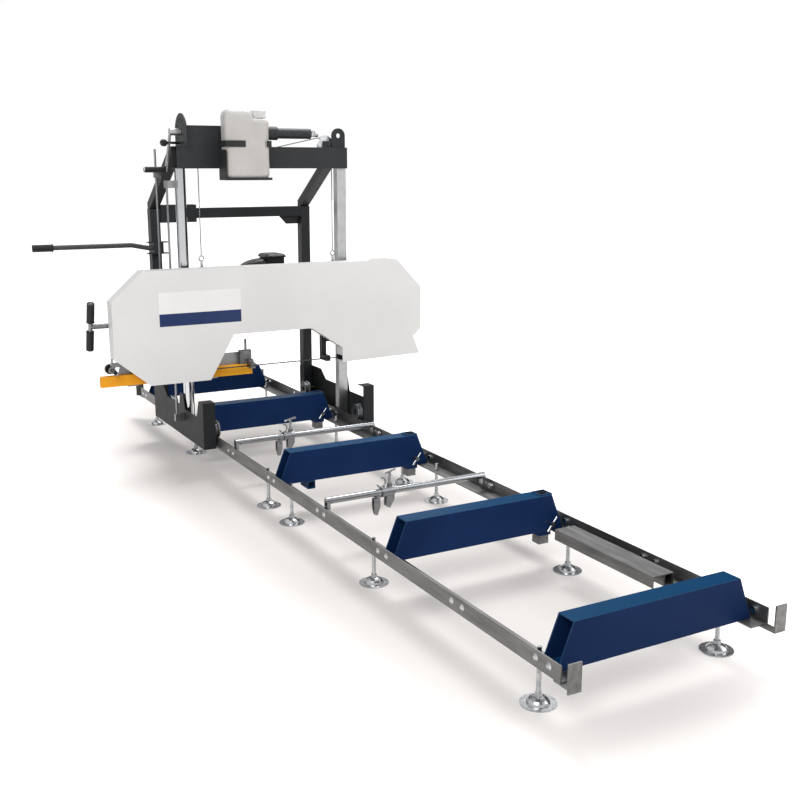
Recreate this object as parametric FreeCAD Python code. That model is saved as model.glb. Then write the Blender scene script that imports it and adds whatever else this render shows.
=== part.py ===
import FreeCAD, Part
import math
import os

# A portable band sawmill: a levelled track with log bunks, a carriage that rolls on
# it, and a saw head that slides up and down two guide columns.
# X runs across the track, Y along it to the far end, Z up. All lengths are millimetres.

# Track
gauge = 900
rail_section = 2320
rail_count = 2
rail_height = 60
rail_flange = 83
rail_wall = 5
rail_bottom = 162
track_length = rail_section * rail_count
rail_top = rail_bottom + rail_height
rail_x = gauge / 2
rail_inner = rail_x - rail_wall
flange_top = rail_bottom + rail_wall

# Levelling feet
foot_radius = 62
foot_plate = 4
dome_radius = 40
dome_height = 28
dome_shares = ((1, 0), (0.95, 0.36), (0.78, 0.66), (0.55, 0.88), (0.35, 1))
foot_rod_radius = 8
foot_rod_above = 34
foot_nut_radius = 14
foot_nut_height = 12
foot_inset = 52
foot_fit = 0.2
foot_left_shares = (0.038, 0.286, 0.472, 0.536, 0.786, 0.962)
foot_right_shares = (0.038, 0.225, 0.462, 0.540, 0.720, 0.966)

# Log bunks, each a slanted end rectangular tube
bunk_height = 160
bunk_width = 80
bunk_wall = 4
bunk_rail_gap = 22
bunk_slant = 63
bunk_base_reach = rail_inner - bunk_rail_gap
bunk_top_reach = bunk_base_reach - bunk_slant
bunk_shares = (0.0205, 0.250, 0.500, 0.750, 0.980)
post_count = 3
socket_x = -252
socket_size = 40
socket_wall = 3
socket_reach = 6
post_x = 334
post_size = 50
post_wall = 3
post_gap = 0.3
sleeve_wall = 6
sleeve_below = 22
sleeve_above = 5
post_below = 62
post_screw_radius = 6
post_screw_z = 212
post_screw_standoff = 42
post_bar_radius = 5
post_bar_reach = 38
post_bar_angle = 52
post_screw_bore = 6.06

# Crossbars with sliding log clamps
crossbar_radius = 16
crossbar_z = 243
crossbar_shares = (0.3752, 0.6228)
crossbar_plate = 6
crossbar_plate_length = 110
crossbar_plate_drop = 62
crossbar_end_gap = 22
crossbar_leg = 6
clamp_x = -112
clamp_length = 62
clamp_wall = 8
clamp_gap = 0.06
clamp_neck = 26
clamp_screw_radius = 7
clamp_screw_bore = 7.06
clamp_screw_height = 92
clamp_bar_radius = 5
clamp_bar_reach = 46
dog_pin_radius = 6
dog_pin_bore = 6.06
dog_thickness = 12
dog_drop = 74
dog_top = 5
cheek_drop = 78
cheek_thickness = 6
dog_width = 30
dog_offset = 52
hook_radius = 22
hook_bar = 8

# Rail bolts
bolt_radius = 6
bolt_hole = 6.3
bolt_head_radius = 13
bolt_head = 5
bolt_nut = 10
bolt_z = 195
bolt_spacing = 70
spare_bolt_shares = (0.129, 0.871)

# End stops and the two spare bars stored beside the right rail
stop_thickness = 6
stop_length = 130
stop_reach = 60
stop_upright = 34
stored_length_share = 0.1293
stored_start_share = 0.09
channel_width = 56
channel_height = 46
channel_wall = 4
square_bar = 46
stored_inset = 31

# Carriage side frames, folded channels open towards the rails
base_front_share = 0.66638
base_front = track_length * base_front_share
base_length = 934
base_inner = 460
base_width = 70
base_wall = 5
base_bottom = 165
base_block_top = 427
base_notch = 330
base_tab = 415
base_saddle = 342
base_rear = 400
base_outline_shares = (0.078, 0.120, 0.347, 0.375, 0.437, 0.454, 0.716, 0.798)
axle_inset = 56
axle_radius = 10
axle_bore = 10.05
axle_head_radius = 16
axle_head = 6
wheel_radius = 48
wheel_groove = 40
wheel_width = 36
wheel_seat = 8
wheel_rail_gap = 0.3
wheel_side_gap = 0.5

# Guide columns, top beam and rear frame
column_x = 490
column_setback = 358
column_y = base_front + column_setback
column_radius = 30
column_side = 58
column_depth = 50
column_foot = 8
column_foot_width = 64
column_foot_length = 96
beam_overhang = 27
top_beam_reach = column_x + beam_overhang
beam_depth = 100
beam_bottom = 1685
beam_height = 120
beam_wall = 5
rear_post = 60
rear_post_x = 491
crossbeam_top = 1445
tube_wall = 4
sleeve_box_start = 458
sleeve_box_end = 237
sleeve_box_height = 105
sleeve_box_depth = 80
gusset_thickness = 8
gusset_drop = 50
gusset_short = 93
gusset_long = 140
brace_width = 55
brace_low = 1760
brace_shoulder = 32
brace_heel = 34
brace_toe = 48

# Winch on the top beam
drum_z = 1881
drum_radius = 29
drum_bore = 29.06
drum_end = 300
drum_thread_radius = 17
drum_thread = 48
drum_collar_radius = 38
drum_collar = 22
winch_left = -470
winch_right = -20
winch_top = 1916
winch_wall = 4
winch_plate = 6
winch_plate_radius = 100
crank_reach = 230
crank_angle = 28
crank_hub_radius = 20
crank_hub = 60
crank_bar_width = 26
crank_bar = 8
crank_gap = 2
crank_pin_radius = 6
grip_bore = 6.06
grip_radius = 15
grip_length = 112
grip_flange = 5
lock_reach = 66
lock_stem = 7
lock_bore = 7.06
lock_hole = 7.5
lock_gap = 0.3
lock_length = 78
lock_ball = 19
lock_boss_radius = 14
index_count = 12
lug_width = 84
lug_thickness = 12
lug_x = 467
lug_hole = 14
lug_z = 1873
pulley_x = 395
pulley_z = 1826
pulley_radius = 48
pulley_groove = 42
pulley_width = 18
pulley_pin = 8
pulley_bore = 8.06
pulley_slot = 6
pulley_ear = 8
cable_radius = 2.5
cable_hole = 8
cable_gap = 0.3
cable_left_x = -385
cable_start_x = 78
cable_low = 1205
cable_angle = 78
shackle_radius = 14
shackle_bar = 4

# Water canister in its tray
jug_left = -275
jug_right = -14
jug_front_setback = 190
jug_front = base_front + jug_front_setback
jug_depth = 110
jug_bottom = 1625
jug_height = 375
jug_shoulder_drop = 42
jug_top = jug_bottom + jug_height
jug_shoulder = jug_top - jug_shoulder_drop
jug_step = 145
jug_round = 22
jug_chamfer = 26
cap_radius = 42
cap_height = 40
neck_radius = 24
neck_height = 30
neck_gap = 0.4
cap_wall = 4
tray_wall = 3
tray_gap = 0.5
tray_side = 165
tray_strap = 34
tray_strap_drop = 156
tray_strap_z = jug_shoulder - tray_strap_drop
tray_strap_left = 115
tray_strap_right = 28
tray_lip = 14

# Push handle, its clamp, and the two upright rods
push_radius = 14
push_z = 1237
push_post_gap = 25
push_elbow_x = -650
push_end_x = -550
push_end_z = 1217
push_grip_start = -1103
push_grip_length = 112
push_grip_radius = 20
push_grip_overlap = 8
push_clamp_plate = 6
push_clamp_gap = 33
push_clamp_ear = 32
rod_radius = 6
rod_a_x = -548
rod_a_setback = 620
rod_a_y = base_front + rod_a_setback
rod_a_top = 1791
rod_a_low = 1028
rod_a_hold = 1632
rod_b_x = -570
rod_b_setback = 348
rod_b_y = base_front + rod_b_setback
rod_b_low = 262
rod_b_top = 1620
rod_b_hold = 1580
rod_hold_height = 40
rod_hold_reach = 12

# Saw head
head_z = 820
band_radius = 250
band_gap = 0.3
blade_thickness = 1.2
blade_back_setback = 244
blade_back = base_front + blade_back_setback
blade_width = 32
tooth_spacing = 24
tooth_depth = 8
tooth_gap = 9
band_left_x = -655
band_right_x = 680
band_width = 35
band_front_setback = 211
band_front = base_front + band_front_setback
band_rim = 16
band_tyre = 5
band_web = 8
band_hub_radius = 38
band_hole_radius = 44
band_hole_circle = 138
band_hole_count = 5
band_spin_gap = 1
shaft_radius = 15
shaft_bore = 15.05
shaft_slot_gap = 0.5
shaft_collar = 24
guard_front_setback = 188
guard_front = base_front + guard_front_setback
guard_depth = 86
guard_sheet = 2
guard_left = -949
guard_right = 957
guard_top = 1146
guard_bump = 12
guard_low_left = 516
guard_low_right = 545
guard_notch_top = 766
guard_places = (
    (guard_left, 676),
    (guard_left, 987),
    (-772, guard_top),
    (590, guard_top),
    (618, guard_top + guard_bump),
    (700, guard_top + guard_bump),
    (789, guard_top),
    (guard_right, 973),
    (guard_right, 713),
    (906, 666),
    (950, guard_low_right + guard_bump),
    (417, guard_low_right),
    (418, 634),
    (218, guard_notch_top),
    (-265, guard_notch_top),
    (-411, guard_low_left),
    (-755, guard_low_left),
)
back_sheet = 4
head_beam_left = -780
head_beam_right = 760
head_beam_height = 120
head_beam_depth = 35
head_beam_wall = 4
slider_size = 90
slider_height = 300
slider_low = 690
slider_gap = 0.3
slider_bore = 30.05
lift_lug = 22
lift_lug_thickness = 10
lift_lug_top = 1140
arm_size = 40
rear_tube_setback = 453
rear_tube_y = base_front + rear_tube_setback
deck_low = 766
deck_sheet = 6
deck_left = -150
deck_right = 340
deck_back_setback = 793
deck_back = base_front + deck_back_setback

# Blade tension screw and its cross handle
tension_rise = 30
tension_screw = 8
tension_bore = 8.3
tension_stem = 14
tension_stem_start = -948
tension_end_x = -1042
tension_travel = 12
tension_bar = 11
tension_reach = 140
tension_grip = 20
tension_grip_length = 112
tension_tilt = 18
slide_block = 90
slide_gap = 0.3
slide_bore_depth = 60
slide_tip_gap = 5

# Blade guides
guide_plate_left = -918
guide_plate_right = -190
guide_plate_low = 515
guide_plate_top = 640
guide_plate_slant = 34
guide_plate_thickness = 8
guide_tab = 60
guide_tab_places = (-860, -400)
guide_lip = 6
guide_bar_left = -1005
guide_bar_right = -127
guide_bar_low = 511
guide_bar_height = 60
guide_bar_depth = 32
guide_bar_wall = 3
guide_bar_gap = 0.3
guide_block_left = -200
guide_block_right = -130
guide_block_top = 652
pad_length = 30
pad_height = 15
pad_gap = 0.5
pad_margin = 2
pad_screw = 7
pad_screw_top = 716
fixed_left = 322
fixed_right = 420
fixed_web = 92
arm_x = -942
arm_bar = 8
arm_width = 20
arm_top = 875
arm_foot = 25
lock_z_low = 600
lock_shaft = 12
lock_shaft_bore = 12.05
lock_boss = 18
lock_front_setback = 220
lock_front = base_front + lock_front_setback
lock_back_setback = 360
lock_back = base_front + lock_back_setback
lock_knob = 28
lock_knob_length = 24

# Engine and belt drive
cover_share = 0.72
fin_start_share = 0.55
engine_x = 100
engine_z = 878
engine_front_setback = 508
engine_front = base_front + engine_front_setback
case_reach = 118
case_length = 190
case_top = 968
case_foot = 12
cylinder_radius = 62
cylinder_length = 150
cylinder_angle = 78
fin_radius = 76
fin_thickness = 4
fin_count = 6
fin_spacing = 16
head_block = 46
shroud_radius = 172
shroud_depth = 74
shroud_rise = 50
recoil_radius = 96
recoil_depth = 12
tank_left = -118
tank_right = 44
tank_low = 990
tank_top = 1092
tank_cap = 30
tank_cap_height = 16
filter_left = 44
filter_right = 188
filter_front_setback = 508
filter_front = base_front + filter_front_setback
filter_depth = 130
filter_low = 1100
filter_top = 1182
filter_lid = 22
filter_overhang = 8
filter_round = 18
silencer_width = 80
silencer_length = 120
silencer_height = 100
silencer_flange = 6
silencer_round = 20
silencer_inset = 40
tank_foot = 62
tank_foot_length = 130
pulley_small = 55
pulley_large = 115
pulley_rim = 30
pulley_front_setback = 410
pulley_front = base_front + pulley_front_setback
belt_thickness = 9
belt_width = 20
belt_gap = 0.3
engine_shaft = 12.5

# Values that follow from the ones above
overrun = 4
half_turn = 180
full_turn = 360
column_top = beam_bottom
beam_top = beam_bottom + beam_height
beam_front = column_y - beam_depth / 2
beam_back = column_y + beam_depth / 2
base_outer = base_inner + base_width
base_back = base_front + base_length
rear_post_back = base_back - base_wall
rear_post_front = rear_post_back - rear_post
push_y = rear_post_front - push_post_gap
axle_z = rail_top + wheel_groove + wheel_rail_gap
wheel_x = rail_x - rail_wall / 2
guard_back = guard_front + guard_depth
plate_back = guard_back + back_sheet
head_beam_back = plate_back + head_beam_depth
head_beam_low = deck_low
blade_inner = band_radius + band_gap
blade_outer = blade_inner + blade_thickness
blade_front = blade_back - blade_width
blade_under = head_z - blade_outer
blade_over = head_z - blade_inner
tension_y = plate_back + head_beam_depth / 2
tension_z = head_z + tension_rise
bar_front = head_beam_back - guide_bar_gap - guide_bar_depth
pulley_back = pulley_front + pulley_rim
left_reach = push_grip_start - push_grip_length
frame_x = (left_reach + guard_right) / 2
frame_y = track_length / 2


def vector(x, y, z):
    return FreeCAD.Vector(x, y, z)


def box(x0, x1, y0, y1, z0, z1):
    return Part.makeBox(x1 - x0, y1 - y0, z1 - z0, vector(x0, y0, z0))


def along_x(radius, x0, x1, y, z):
    return Part.makeCylinder(radius, x1 - x0, vector(x0, y, z), vector(1, 0, 0))


def along_y(radius, x, y0, y1, z):
    return Part.makeCylinder(radius, y1 - y0, vector(x, y0, z), vector(0, 1, 0))


def along_z(radius, x, y, z0, z1):
    return Part.makeCylinder(radius, z1 - z0, vector(x, y, z0), vector(0, 0, 1))


def rod(radius, start, end):
    direction = end.sub(start)
    return Part.makeCylinder(radius, direction.Length, start, direction)


def polygon_face(points):
    wire = Part.makePolygon(points + [points[0]])
    return Part.Face(wire)


def prism_x(points, x0, x1):
    face = polygon_face([vector(x0, y, z) for y, z in points])
    return face.extrude(vector(x1 - x0, 0, 0))


def prism_y(points, y0, y1):
    face = polygon_face([vector(x, y0, z) for x, z in points])
    return face.extrude(vector(0, y1 - y0, 0))


def prism_z(points, z0, z1):
    face = polygon_face([vector(x, y, z0) for x, y in points])
    return face.extrude(vector(0, 0, z1 - z0))


def hexagon_z(radius, x, y, z0, z1):
    corners = [math.radians(full_turn * k / 6) for k in range(6)]
    points = [(x + radius * math.cos(a), y + radius * math.sin(a)) for a in corners]
    return prism_z(points, z0, z1)


def box_tube_x(x0, x1, y0, y1, z0, z1, wall):
    outer = box(x0, x1, y0, y1, z0, z1)
    return outer.cut(box(x0, x1, y0 + wall, y1 - wall, z0 + wall, z1 - wall))


def box_tube_z(x0, x1, y0, y1, z0, z1, wall):
    outer = box(x0, x1, y0, y1, z0, z1)
    return outer.cut(box(x0 + wall, x1 - wall, y0 + wall, y1 - wall, z0, z1))


def join(shapes):
    first = shapes[0]
    return first.multiFuse(shapes[1:]).removeSplitter()


def cut(shape, tools):
    return shape.cut(Part.makeCompound(tools))


def mirror_x(shape):
    return shape.mirror(vector(0, 0, 0), vector(1, 0, 0))


def turned(shape, centre, axis, angle):
    copy = shape.copy()
    copy.rotate(centre, axis, angle)
    return copy


nodes = {}


def keep(name, *shapes):
    solids = []
    for shape in shapes:
        solids += shape.Solids
    nodes[name] = solids


# Places along the track
bunk_y = [track_length * share for share in bunk_shares]
post_bunks = [k + 1 for k in range(post_count)]
socket_bunk = len(bunk_shares) // 2
crossbar_y = [track_length * share for share in crossbar_shares]
spare_bolt_y = [track_length * share for share in spare_bolt_shares]
bolt_groups = bunk_y + crossbar_y + spare_bolt_y
bolt_y = [y + side * bolt_spacing / 2 for y in bolt_groups for side in (-1, 1)]
foot_left_y = [track_length * share for share in foot_left_shares]
foot_right_y = [track_length * share for share in foot_right_shares]


# Rails: angle iron with the upright flange outside
def rail(side, foot_places):
    profile = [
        (rail_x, rail_bottom),
        (rail_x, rail_top),
        (rail_inner, rail_top),
        (rail_inner, flange_top),
        (rail_x - rail_flange, flange_top),
        (rail_x - rail_flange, rail_bottom),
    ]
    holes = [along_x(bolt_hole, rail_inner - overrun, rail_x + overrun, y, bolt_z) for y in bolt_y]
    for y in foot_places:
        low = rail_bottom - overrun
        holes.append(
            along_z(foot_rod_radius + foot_fit, rail_x - foot_inset, y, low, flange_top + overrun)
        )
    sections = []
    for k in range(rail_count):
        section = prism_y(profile, k * rail_section, (k + 1) * rail_section)
        section = cut(section, holes)
        sections.append(section if side > 0 else mirror_x(section))
    return sections


keep("rails", *rail(-1, foot_left_y), *rail(1, foot_right_y))


# Bolts through the upright flanges, and the crossbars' end plates behind some of them
def rail_bolt(y, seat):
    head = Part.makeCone(
        bolt_head_radius,
        bolt_head_radius / 2,
        bolt_head,
        vector(rail_x, y, bolt_z),
        vector(1, 0, 0),
    )
    shank = along_x(bolt_radius, seat, rail_x, y, bolt_z)
    nut = along_x(bolt_head_radius, seat - bolt_nut, seat, y, bolt_z)
    return join([head, shank, nut])


bolts = []
for y in bolt_y:
    on_crossbar = min(abs(y - place) for place in crossbar_y) < bolt_spacing
    seat = rail_inner - crossbar_plate if on_crossbar else rail_inner
    bolt = rail_bolt(y, seat)
    bolts += [bolt, mirror_x(bolt)]
keep("rail_bolts", *bolts)


# Bunks
def bunk(y, with_sleeve, with_socket):
    back = y + bunk_width / 2
    front = y - bunk_width / 2
    top = flange_top + bunk_height
    outline = [
        (-bunk_base_reach, flange_top),
        (-bunk_top_reach, top),
        (bunk_top_reach, top),
        (bunk_base_reach, flange_top),
    ]
    shape = prism_y(outline, front, back)
    reach = bunk_base_reach + overrun
    hollow = box(
        -reach,
        reach,
        front + bunk_wall,
        back - bunk_wall,
        flange_top + bunk_wall,
        top - bunk_wall,
    )
    shape = shape.cut(hollow)
    if with_sleeve:
        half = post_size / 2 + post_gap
        outer = half + sleeve_wall
        low = flange_top - sleeve_below
        high = top + sleeve_above
        sleeve = box(post_x - outer, post_x + outer, y - outer, y + outer, low, high)
        bore = box(post_x - half, post_x + half, y - half, y + half, low - overrun, high + overrun)
        shape = join([shape, sleeve]).cut(bore)
        shape = shape.cut(along_y(post_screw_bore, post_x, front - overrun, y, post_screw_z))
    if with_socket:
        left = socket_x - socket_size / 2
        right = socket_x + socket_size / 2
        socket_low = flange_top - socket_size
        socket = box(left, right, front - socket_reach, back + socket_reach, socket_low, flange_top)
        inside = box(
            left + socket_wall,
            right - socket_wall,
            front - socket_reach,
            back + socket_reach,
            socket_low + socket_wall,
            flange_top - socket_wall,
        )
        shape = join([shape, socket.cut(inside)])
    return shape


keep("log_bunks", *[bunk(y, k in post_bunks, k == socket_bunk) for k, y in enumerate(bunk_y)])


# Log posts that lift out of the bunks, and their tommy bar screws
def log_post(y):
    half = post_size / 2
    low = flange_top - post_below
    high = flange_top + bunk_height
    return box_tube_z(post_x - half, post_x + half, y - half, y + half, low, high, post_wall)


def post_screw(y):
    tip = y - post_size / 2 - post_gap / 2
    head = y - bunk_width / 2 - post_screw_standoff
    shank = along_y(post_screw_radius, post_x, head, tip, post_screw_z)
    boss_reach = post_bar_radius * 2
    boss = along_y(
        post_screw_radius + post_bar_radius,
        post_x,
        head - boss_reach,
        head + boss_reach,
        post_screw_z,
    )
    bar = along_x(post_bar_radius, post_x - post_bar_reach, post_x + post_bar_reach, head, post_screw_z)
    bar = turned(bar, vector(post_x, head, post_screw_z), vector(0, 1, 0), -post_bar_angle)
    return join([shank, boss, bar])


for name, k in zip(("near", "middle", "far"), post_bunks):
    keep("log_post_" + name, log_post(bunk_y[k]))
    keep("post_screw_" + name, post_screw(bunk_y[k]))


# Crossbars: a bright round bar between two end blocks, on brackets below the wheels' path
def crossbar(y):
    reach = rail_inner - crossbar_end_gap
    half = crossbar_plate_length / 2
    front = y - crossbar_radius
    back = y + crossbar_radius
    plate_left = rail_inner - crossbar_plate
    block_left = reach - crossbar_radius
    leg_top = bolt_z + bolt_head_radius + crossbar_leg / 2
    bar = along_x(crossbar_radius, -block_left, block_left, y, crossbar_z)
    block = box(block_left, reach, front, back, leg_top, crossbar_z)
    block = join([block, along_x(crossbar_radius, block_left, reach, y, crossbar_z)])
    plate = box(plate_left, rail_inner, y - half, y + half, crossbar_z - crossbar_plate_drop, leg_top)
    holes = [
        along_x(bolt_hole, plate_left - overrun, rail_x, y + s * bolt_spacing / 2, bolt_z)
        for s in (-1, 1)
    ]
    leg = box(block_left, rail_inner, front, back, leg_top - crossbar_leg, leg_top)
    bracket = join([cut(plate, holes), leg])
    return [bar, block, mirror_x(block), bracket, mirror_x(bracket)]


keep("crossbars", *[piece for y in crossbar_y for piece in crossbar(y)])


# Log clamps: a collar on the bar, a tommy screw that locks it, and a dog that hangs ready
def clamp_body(y):
    start = clamp_x - clamp_length / 2
    end = clamp_x + clamp_length / 2
    outer = crossbar_radius + clamp_wall
    collar = along_x(outer, start, end, y, crossbar_z)
    top = crossbar_z + outer + clamp_neck / 2
    neck = along_z(clamp_neck / 2, clamp_x + clamp_neck / 2, y, crossbar_z, top)
    ear_x = start - dog_offset / 2
    ear = box(
        ear_x,
        start + clamp_wall,
        y - clamp_wall,
        y + clamp_wall,
        crossbar_z - outer,
        crossbar_z - outer / 2,
    )
    eye = along_y(
        dog_pin_radius * 2,
        ear_x,
        y - clamp_wall,
        y + clamp_wall,
        crossbar_z - outer - dog_pin_radius,
    )
    cheek_left = clamp_x - clamp_wall
    cheek_outline = [
        (cheek_left, crossbar_z),
        (end, crossbar_z),
        (end, crossbar_z - cheek_drop / 2),
        (clamp_x + clamp_wall, crossbar_z - cheek_drop),
        (cheek_left, crossbar_z - cheek_drop + clamp_wall),
    ]
    cheeks = [
        prism_y(cheek_outline, y - crossbar_radius, y - crossbar_radius + cheek_thickness),
        prism_y(cheek_outline, y + crossbar_radius - cheek_thickness, y + crossbar_radius),
    ]
    hook_centre = vector(start, y, crossbar_z + outer + hook_radius)
    ring = Part.makeTorus(hook_radius, hook_bar / 2, hook_centre, vector(0, 1, 0))
    gap_low = hook_centre.z - hook_bar
    gap = box(
        start - hook_radius * 2,
        start,
        y - hook_bar,
        y + hook_bar,
        gap_low,
        gap_low + hook_radius * 2,
    )
    ring = ring.cut(gap)
    shape = join([collar, neck, ear, eye, ring] + cheeks)
    bore = along_x(crossbar_radius + clamp_gap, start - hook_radius * 3, end + overrun, y, crossbar_z)
    screw = along_z(clamp_screw_bore, clamp_x + clamp_neck / 2, y, crossbar_z, top + overrun)
    pin = along_y(dog_pin_bore, ear_x, y - outer, y + outer, crossbar_z - outer - dog_pin_radius)
    return cut(shape, [bore, screw, pin])


def clamp_screw(y):
    x = clamp_x + clamp_neck / 2
    low = crossbar_z + crossbar_radius + clamp_gap + clamp_gap
    high = crossbar_z + clamp_screw_height
    shank = along_z(clamp_screw_radius, x, y, low, high)
    bar = rod(
        clamp_bar_radius,
        vector(x - clamp_bar_reach, y, high),
        vector(x + clamp_bar_reach, y, high),
    )
    bar = turned(bar, vector(x, y, high), vector(0, 0, 1), full_turn / 12)
    return join([shank, bar])


def clamp_dog(y):
    outer = crossbar_radius + clamp_wall
    ear_x = clamp_x - clamp_length / 2 - dog_offset / 2
    pin_z = crossbar_z - outer - dog_pin_radius
    front = y - clamp_wall - clamp_gap * 4
    back = y + clamp_wall + clamp_gap * 4
    half = dog_width / 2
    outline = [
        (ear_x - half, pin_z + dog_top),
        (ear_x + half, pin_z + dog_top),
        (ear_x + half, pin_z - dog_drop / 2),
        (ear_x, pin_z - dog_drop),
        (ear_x - half / 2, pin_z - dog_drop),
        (ear_x - half, pin_z - dog_drop / 2),
    ]
    cheek_a = prism_y(outline, front - dog_thickness / 2, front)
    cheek_b = prism_y(outline, back, back + dog_thickness / 2)
    web = box(
        ear_x - half / 2,
        ear_x + half / 2,
        front,
        back,
        pin_z - dog_drop,
        pin_z - dog_drop * 2 / 3,
    )
    pin = along_y(dog_pin_radius, ear_x, front - dog_thickness / 2, back + dog_thickness / 2, pin_z)
    return join([cheek_a, cheek_b, web, pin])


for name, y in zip(("near", "far"), crossbar_y):
    keep("clamp_body_" + name, clamp_body(y))
    keep("clamp_screw_" + name, clamp_screw(y))
    keep("clamp_dog_" + name, clamp_dog(y))


# Levelling feet: a domed foot, a threaded rod and nuts either side of the rail flange
def levelling_foot(x, y):
    plate = along_z(foot_radius, x, y, 0, foot_plate)
    rise = dome_height - foot_plate
    outline = [vector(x, y, foot_plate)]
    outline += [vector(x + dome_radius * a, y, foot_plate + rise * b) for a, b in dome_shares]
    outline.append(vector(x, y, dome_height))
    dome = polygon_face(outline).revolve(vector(x, y, 0), vector(0, 0, 1), full_turn)
    screw = along_z(foot_rod_radius, x, y, foot_plate, flange_top + foot_rod_above)
    lock = hexagon_z(foot_nut_radius, x, y, dome_height, dome_height + foot_nut_height)
    under = hexagon_z(foot_nut_radius, x, y, rail_bottom - foot_nut_height, rail_bottom)
    over = hexagon_z(foot_nut_radius, x, y, flange_top, flange_top + foot_nut_height)
    return join([plate, dome, screw, lock, under, over])


foot_x = rail_x - foot_inset
feet = [levelling_foot(-foot_x, y) for y in foot_left_y]
feet += [levelling_foot(foot_x, y) for y in foot_right_y]
keep("levelling_feet", *feet)


# End stops: a flat bar under the rail end with a turned up plate in the wheels' path
def end_stop(side, y_end, along):
    low = rail_bottom - stop_thickness
    inner = rail_x - stop_upright
    outer = rail_x + stop_upright / 2
    y_far = y_end + along * stop_reach
    y_near = y_end - along * (stop_length - stop_reach) / 2
    foot_part = box(inner, rail_x, min(y_near, y_far), max(y_near, y_far), low, rail_bottom)
    tip = y_far - along * stop_thickness
    upright = box(inner, outer, min(tip, y_far), max(tip, y_far), low, rail_top + stop_upright)
    shape = join([foot_part, upright])
    return shape if side > 0 else mirror_x(shape)


stops = [end_stop(side, 0, -1) for side in (-1, 1)]
stops += [end_stop(side, track_length, 1) for side in (-1, 1)]
keep("end_stops", *stops)

# Two spare bars lying on the right rail's flange
stored_y = track_length * stored_start_share
stored_length = track_length * stored_length_share
square_right = rail_inner - bolt_nut - stored_inset
square_left = square_right - square_bar
channel_right = square_left
channel_left = channel_right - channel_width
channel = box(
    channel_left,
    channel_right,
    stored_y,
    stored_y + stored_length,
    flange_top,
    flange_top + channel_height,
)
channel_hollow = box(
    channel_left + channel_wall,
    channel_right - channel_wall,
    stored_y,
    stored_y + stored_length,
    flange_top,
    flange_top + channel_height - channel_wall,
)
square_outer = box(
    square_left,
    square_right,
    stored_y,
    stored_y + stored_length,
    flange_top,
    flange_top + square_bar,
)
square_hollow = box(
    square_left + channel_wall,
    square_right - channel_wall,
    stored_y,
    stored_y + stored_length,
    flange_top + channel_wall,
    flange_top + square_bar - channel_wall,
)
keep("stored_bars", channel.cut(channel_hollow), square_outer.cut(square_hollow))


# Carriage side frames
def base_frame():
    y = [base_front + base_length * share for share in base_outline_shares]
    outline = [
        (base_front, base_bottom),
        (base_front, base_block_top),
        (y[0], base_block_top),
        (y[1], base_notch),
        (y[2], base_notch),
        (y[3], base_tab),
        (y[4], base_tab),
        (y[5], base_saddle),
        (y[6], base_saddle),
        (y[7], base_rear),
        (base_back, base_rear),
        (base_back, base_bottom),
    ]
    web = prism_x(outline, base_outer - base_wall, base_outer)
    floor = box(base_inner, base_outer, base_front, base_back, base_bottom, base_bottom + base_wall)
    front = box(base_inner, base_outer, base_front, base_front + base_wall, base_bottom, base_block_top)
    roof = box(base_inner, base_outer, base_front, y[0], base_block_top - base_wall, base_block_top)
    back = box(base_inner, base_outer, base_back - base_wall, base_back, base_bottom, base_rear)
    parts = [web, floor, front, roof, back]
    for axle_y in (base_front + axle_inset, base_back - axle_inset - rear_post):
        inner = wheel_x - wheel_width / 2 - wheel_side_gap
        parts.append(along_x(axle_radius, inner, base_outer - base_wall, axle_y, axle_z))
        parts.append(along_x(axle_head_radius, inner - axle_head, inner, axle_y, axle_z))
    return join(parts)


right_base = base_frame()
keep("base_frames", right_base, mirror_x(right_base))


# Grooved wheels that ride on the rails' upper edge
def track_wheel(y):
    half = wheel_width / 2
    seat = wheel_seat / 2
    lip = half - seat
    outline = [
        (axle_bore, -half),
        (wheel_radius, -half),
        (wheel_radius, -seat - lip / 2),
        (wheel_groove, -seat),
        (wheel_groove, seat),
        (wheel_radius, seat + lip / 2),
        (wheel_radius, half),
        (axle_bore, half),
    ]
    face = polygon_face([vector(wheel_x + b, y, axle_z + a) for a, b in outline])
    return face.revolve(vector(wheel_x, y, axle_z), vector(1, 0, 0), full_turn)


for name, y in (("front", base_front + axle_inset), ("rear", base_back - axle_inset - rear_post)):
    wheel = track_wheel(y)
    keep("wheel_" + name + "_right", wheel)
    keep("wheel_" + name + "_left", mirror_x(wheel))

# Guide columns: a polished round one on the left, a square one on the right
floor_top = base_bottom + base_wall


def column_plate(x):
    half = column_foot_width / 2
    long = column_foot_length / 2
    return box(x - half, x + half, column_y - long, column_y + long, floor_top, floor_top + column_foot)


plate_x = base_inner + column_foot_width / 2
left_column = along_z(column_radius, -column_x, column_y, floor_top, column_top)
left_column = join([left_column, column_plate(-plate_x)])
right_column = box(
    column_x - column_side / 2,
    column_x + column_side / 2,
    column_y - column_depth / 2,
    column_y + column_depth / 2,
    floor_top,
    column_top,
)
right_column = join([right_column, column_plate(plate_x)])
keep("guide_columns", left_column, right_column)

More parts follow.
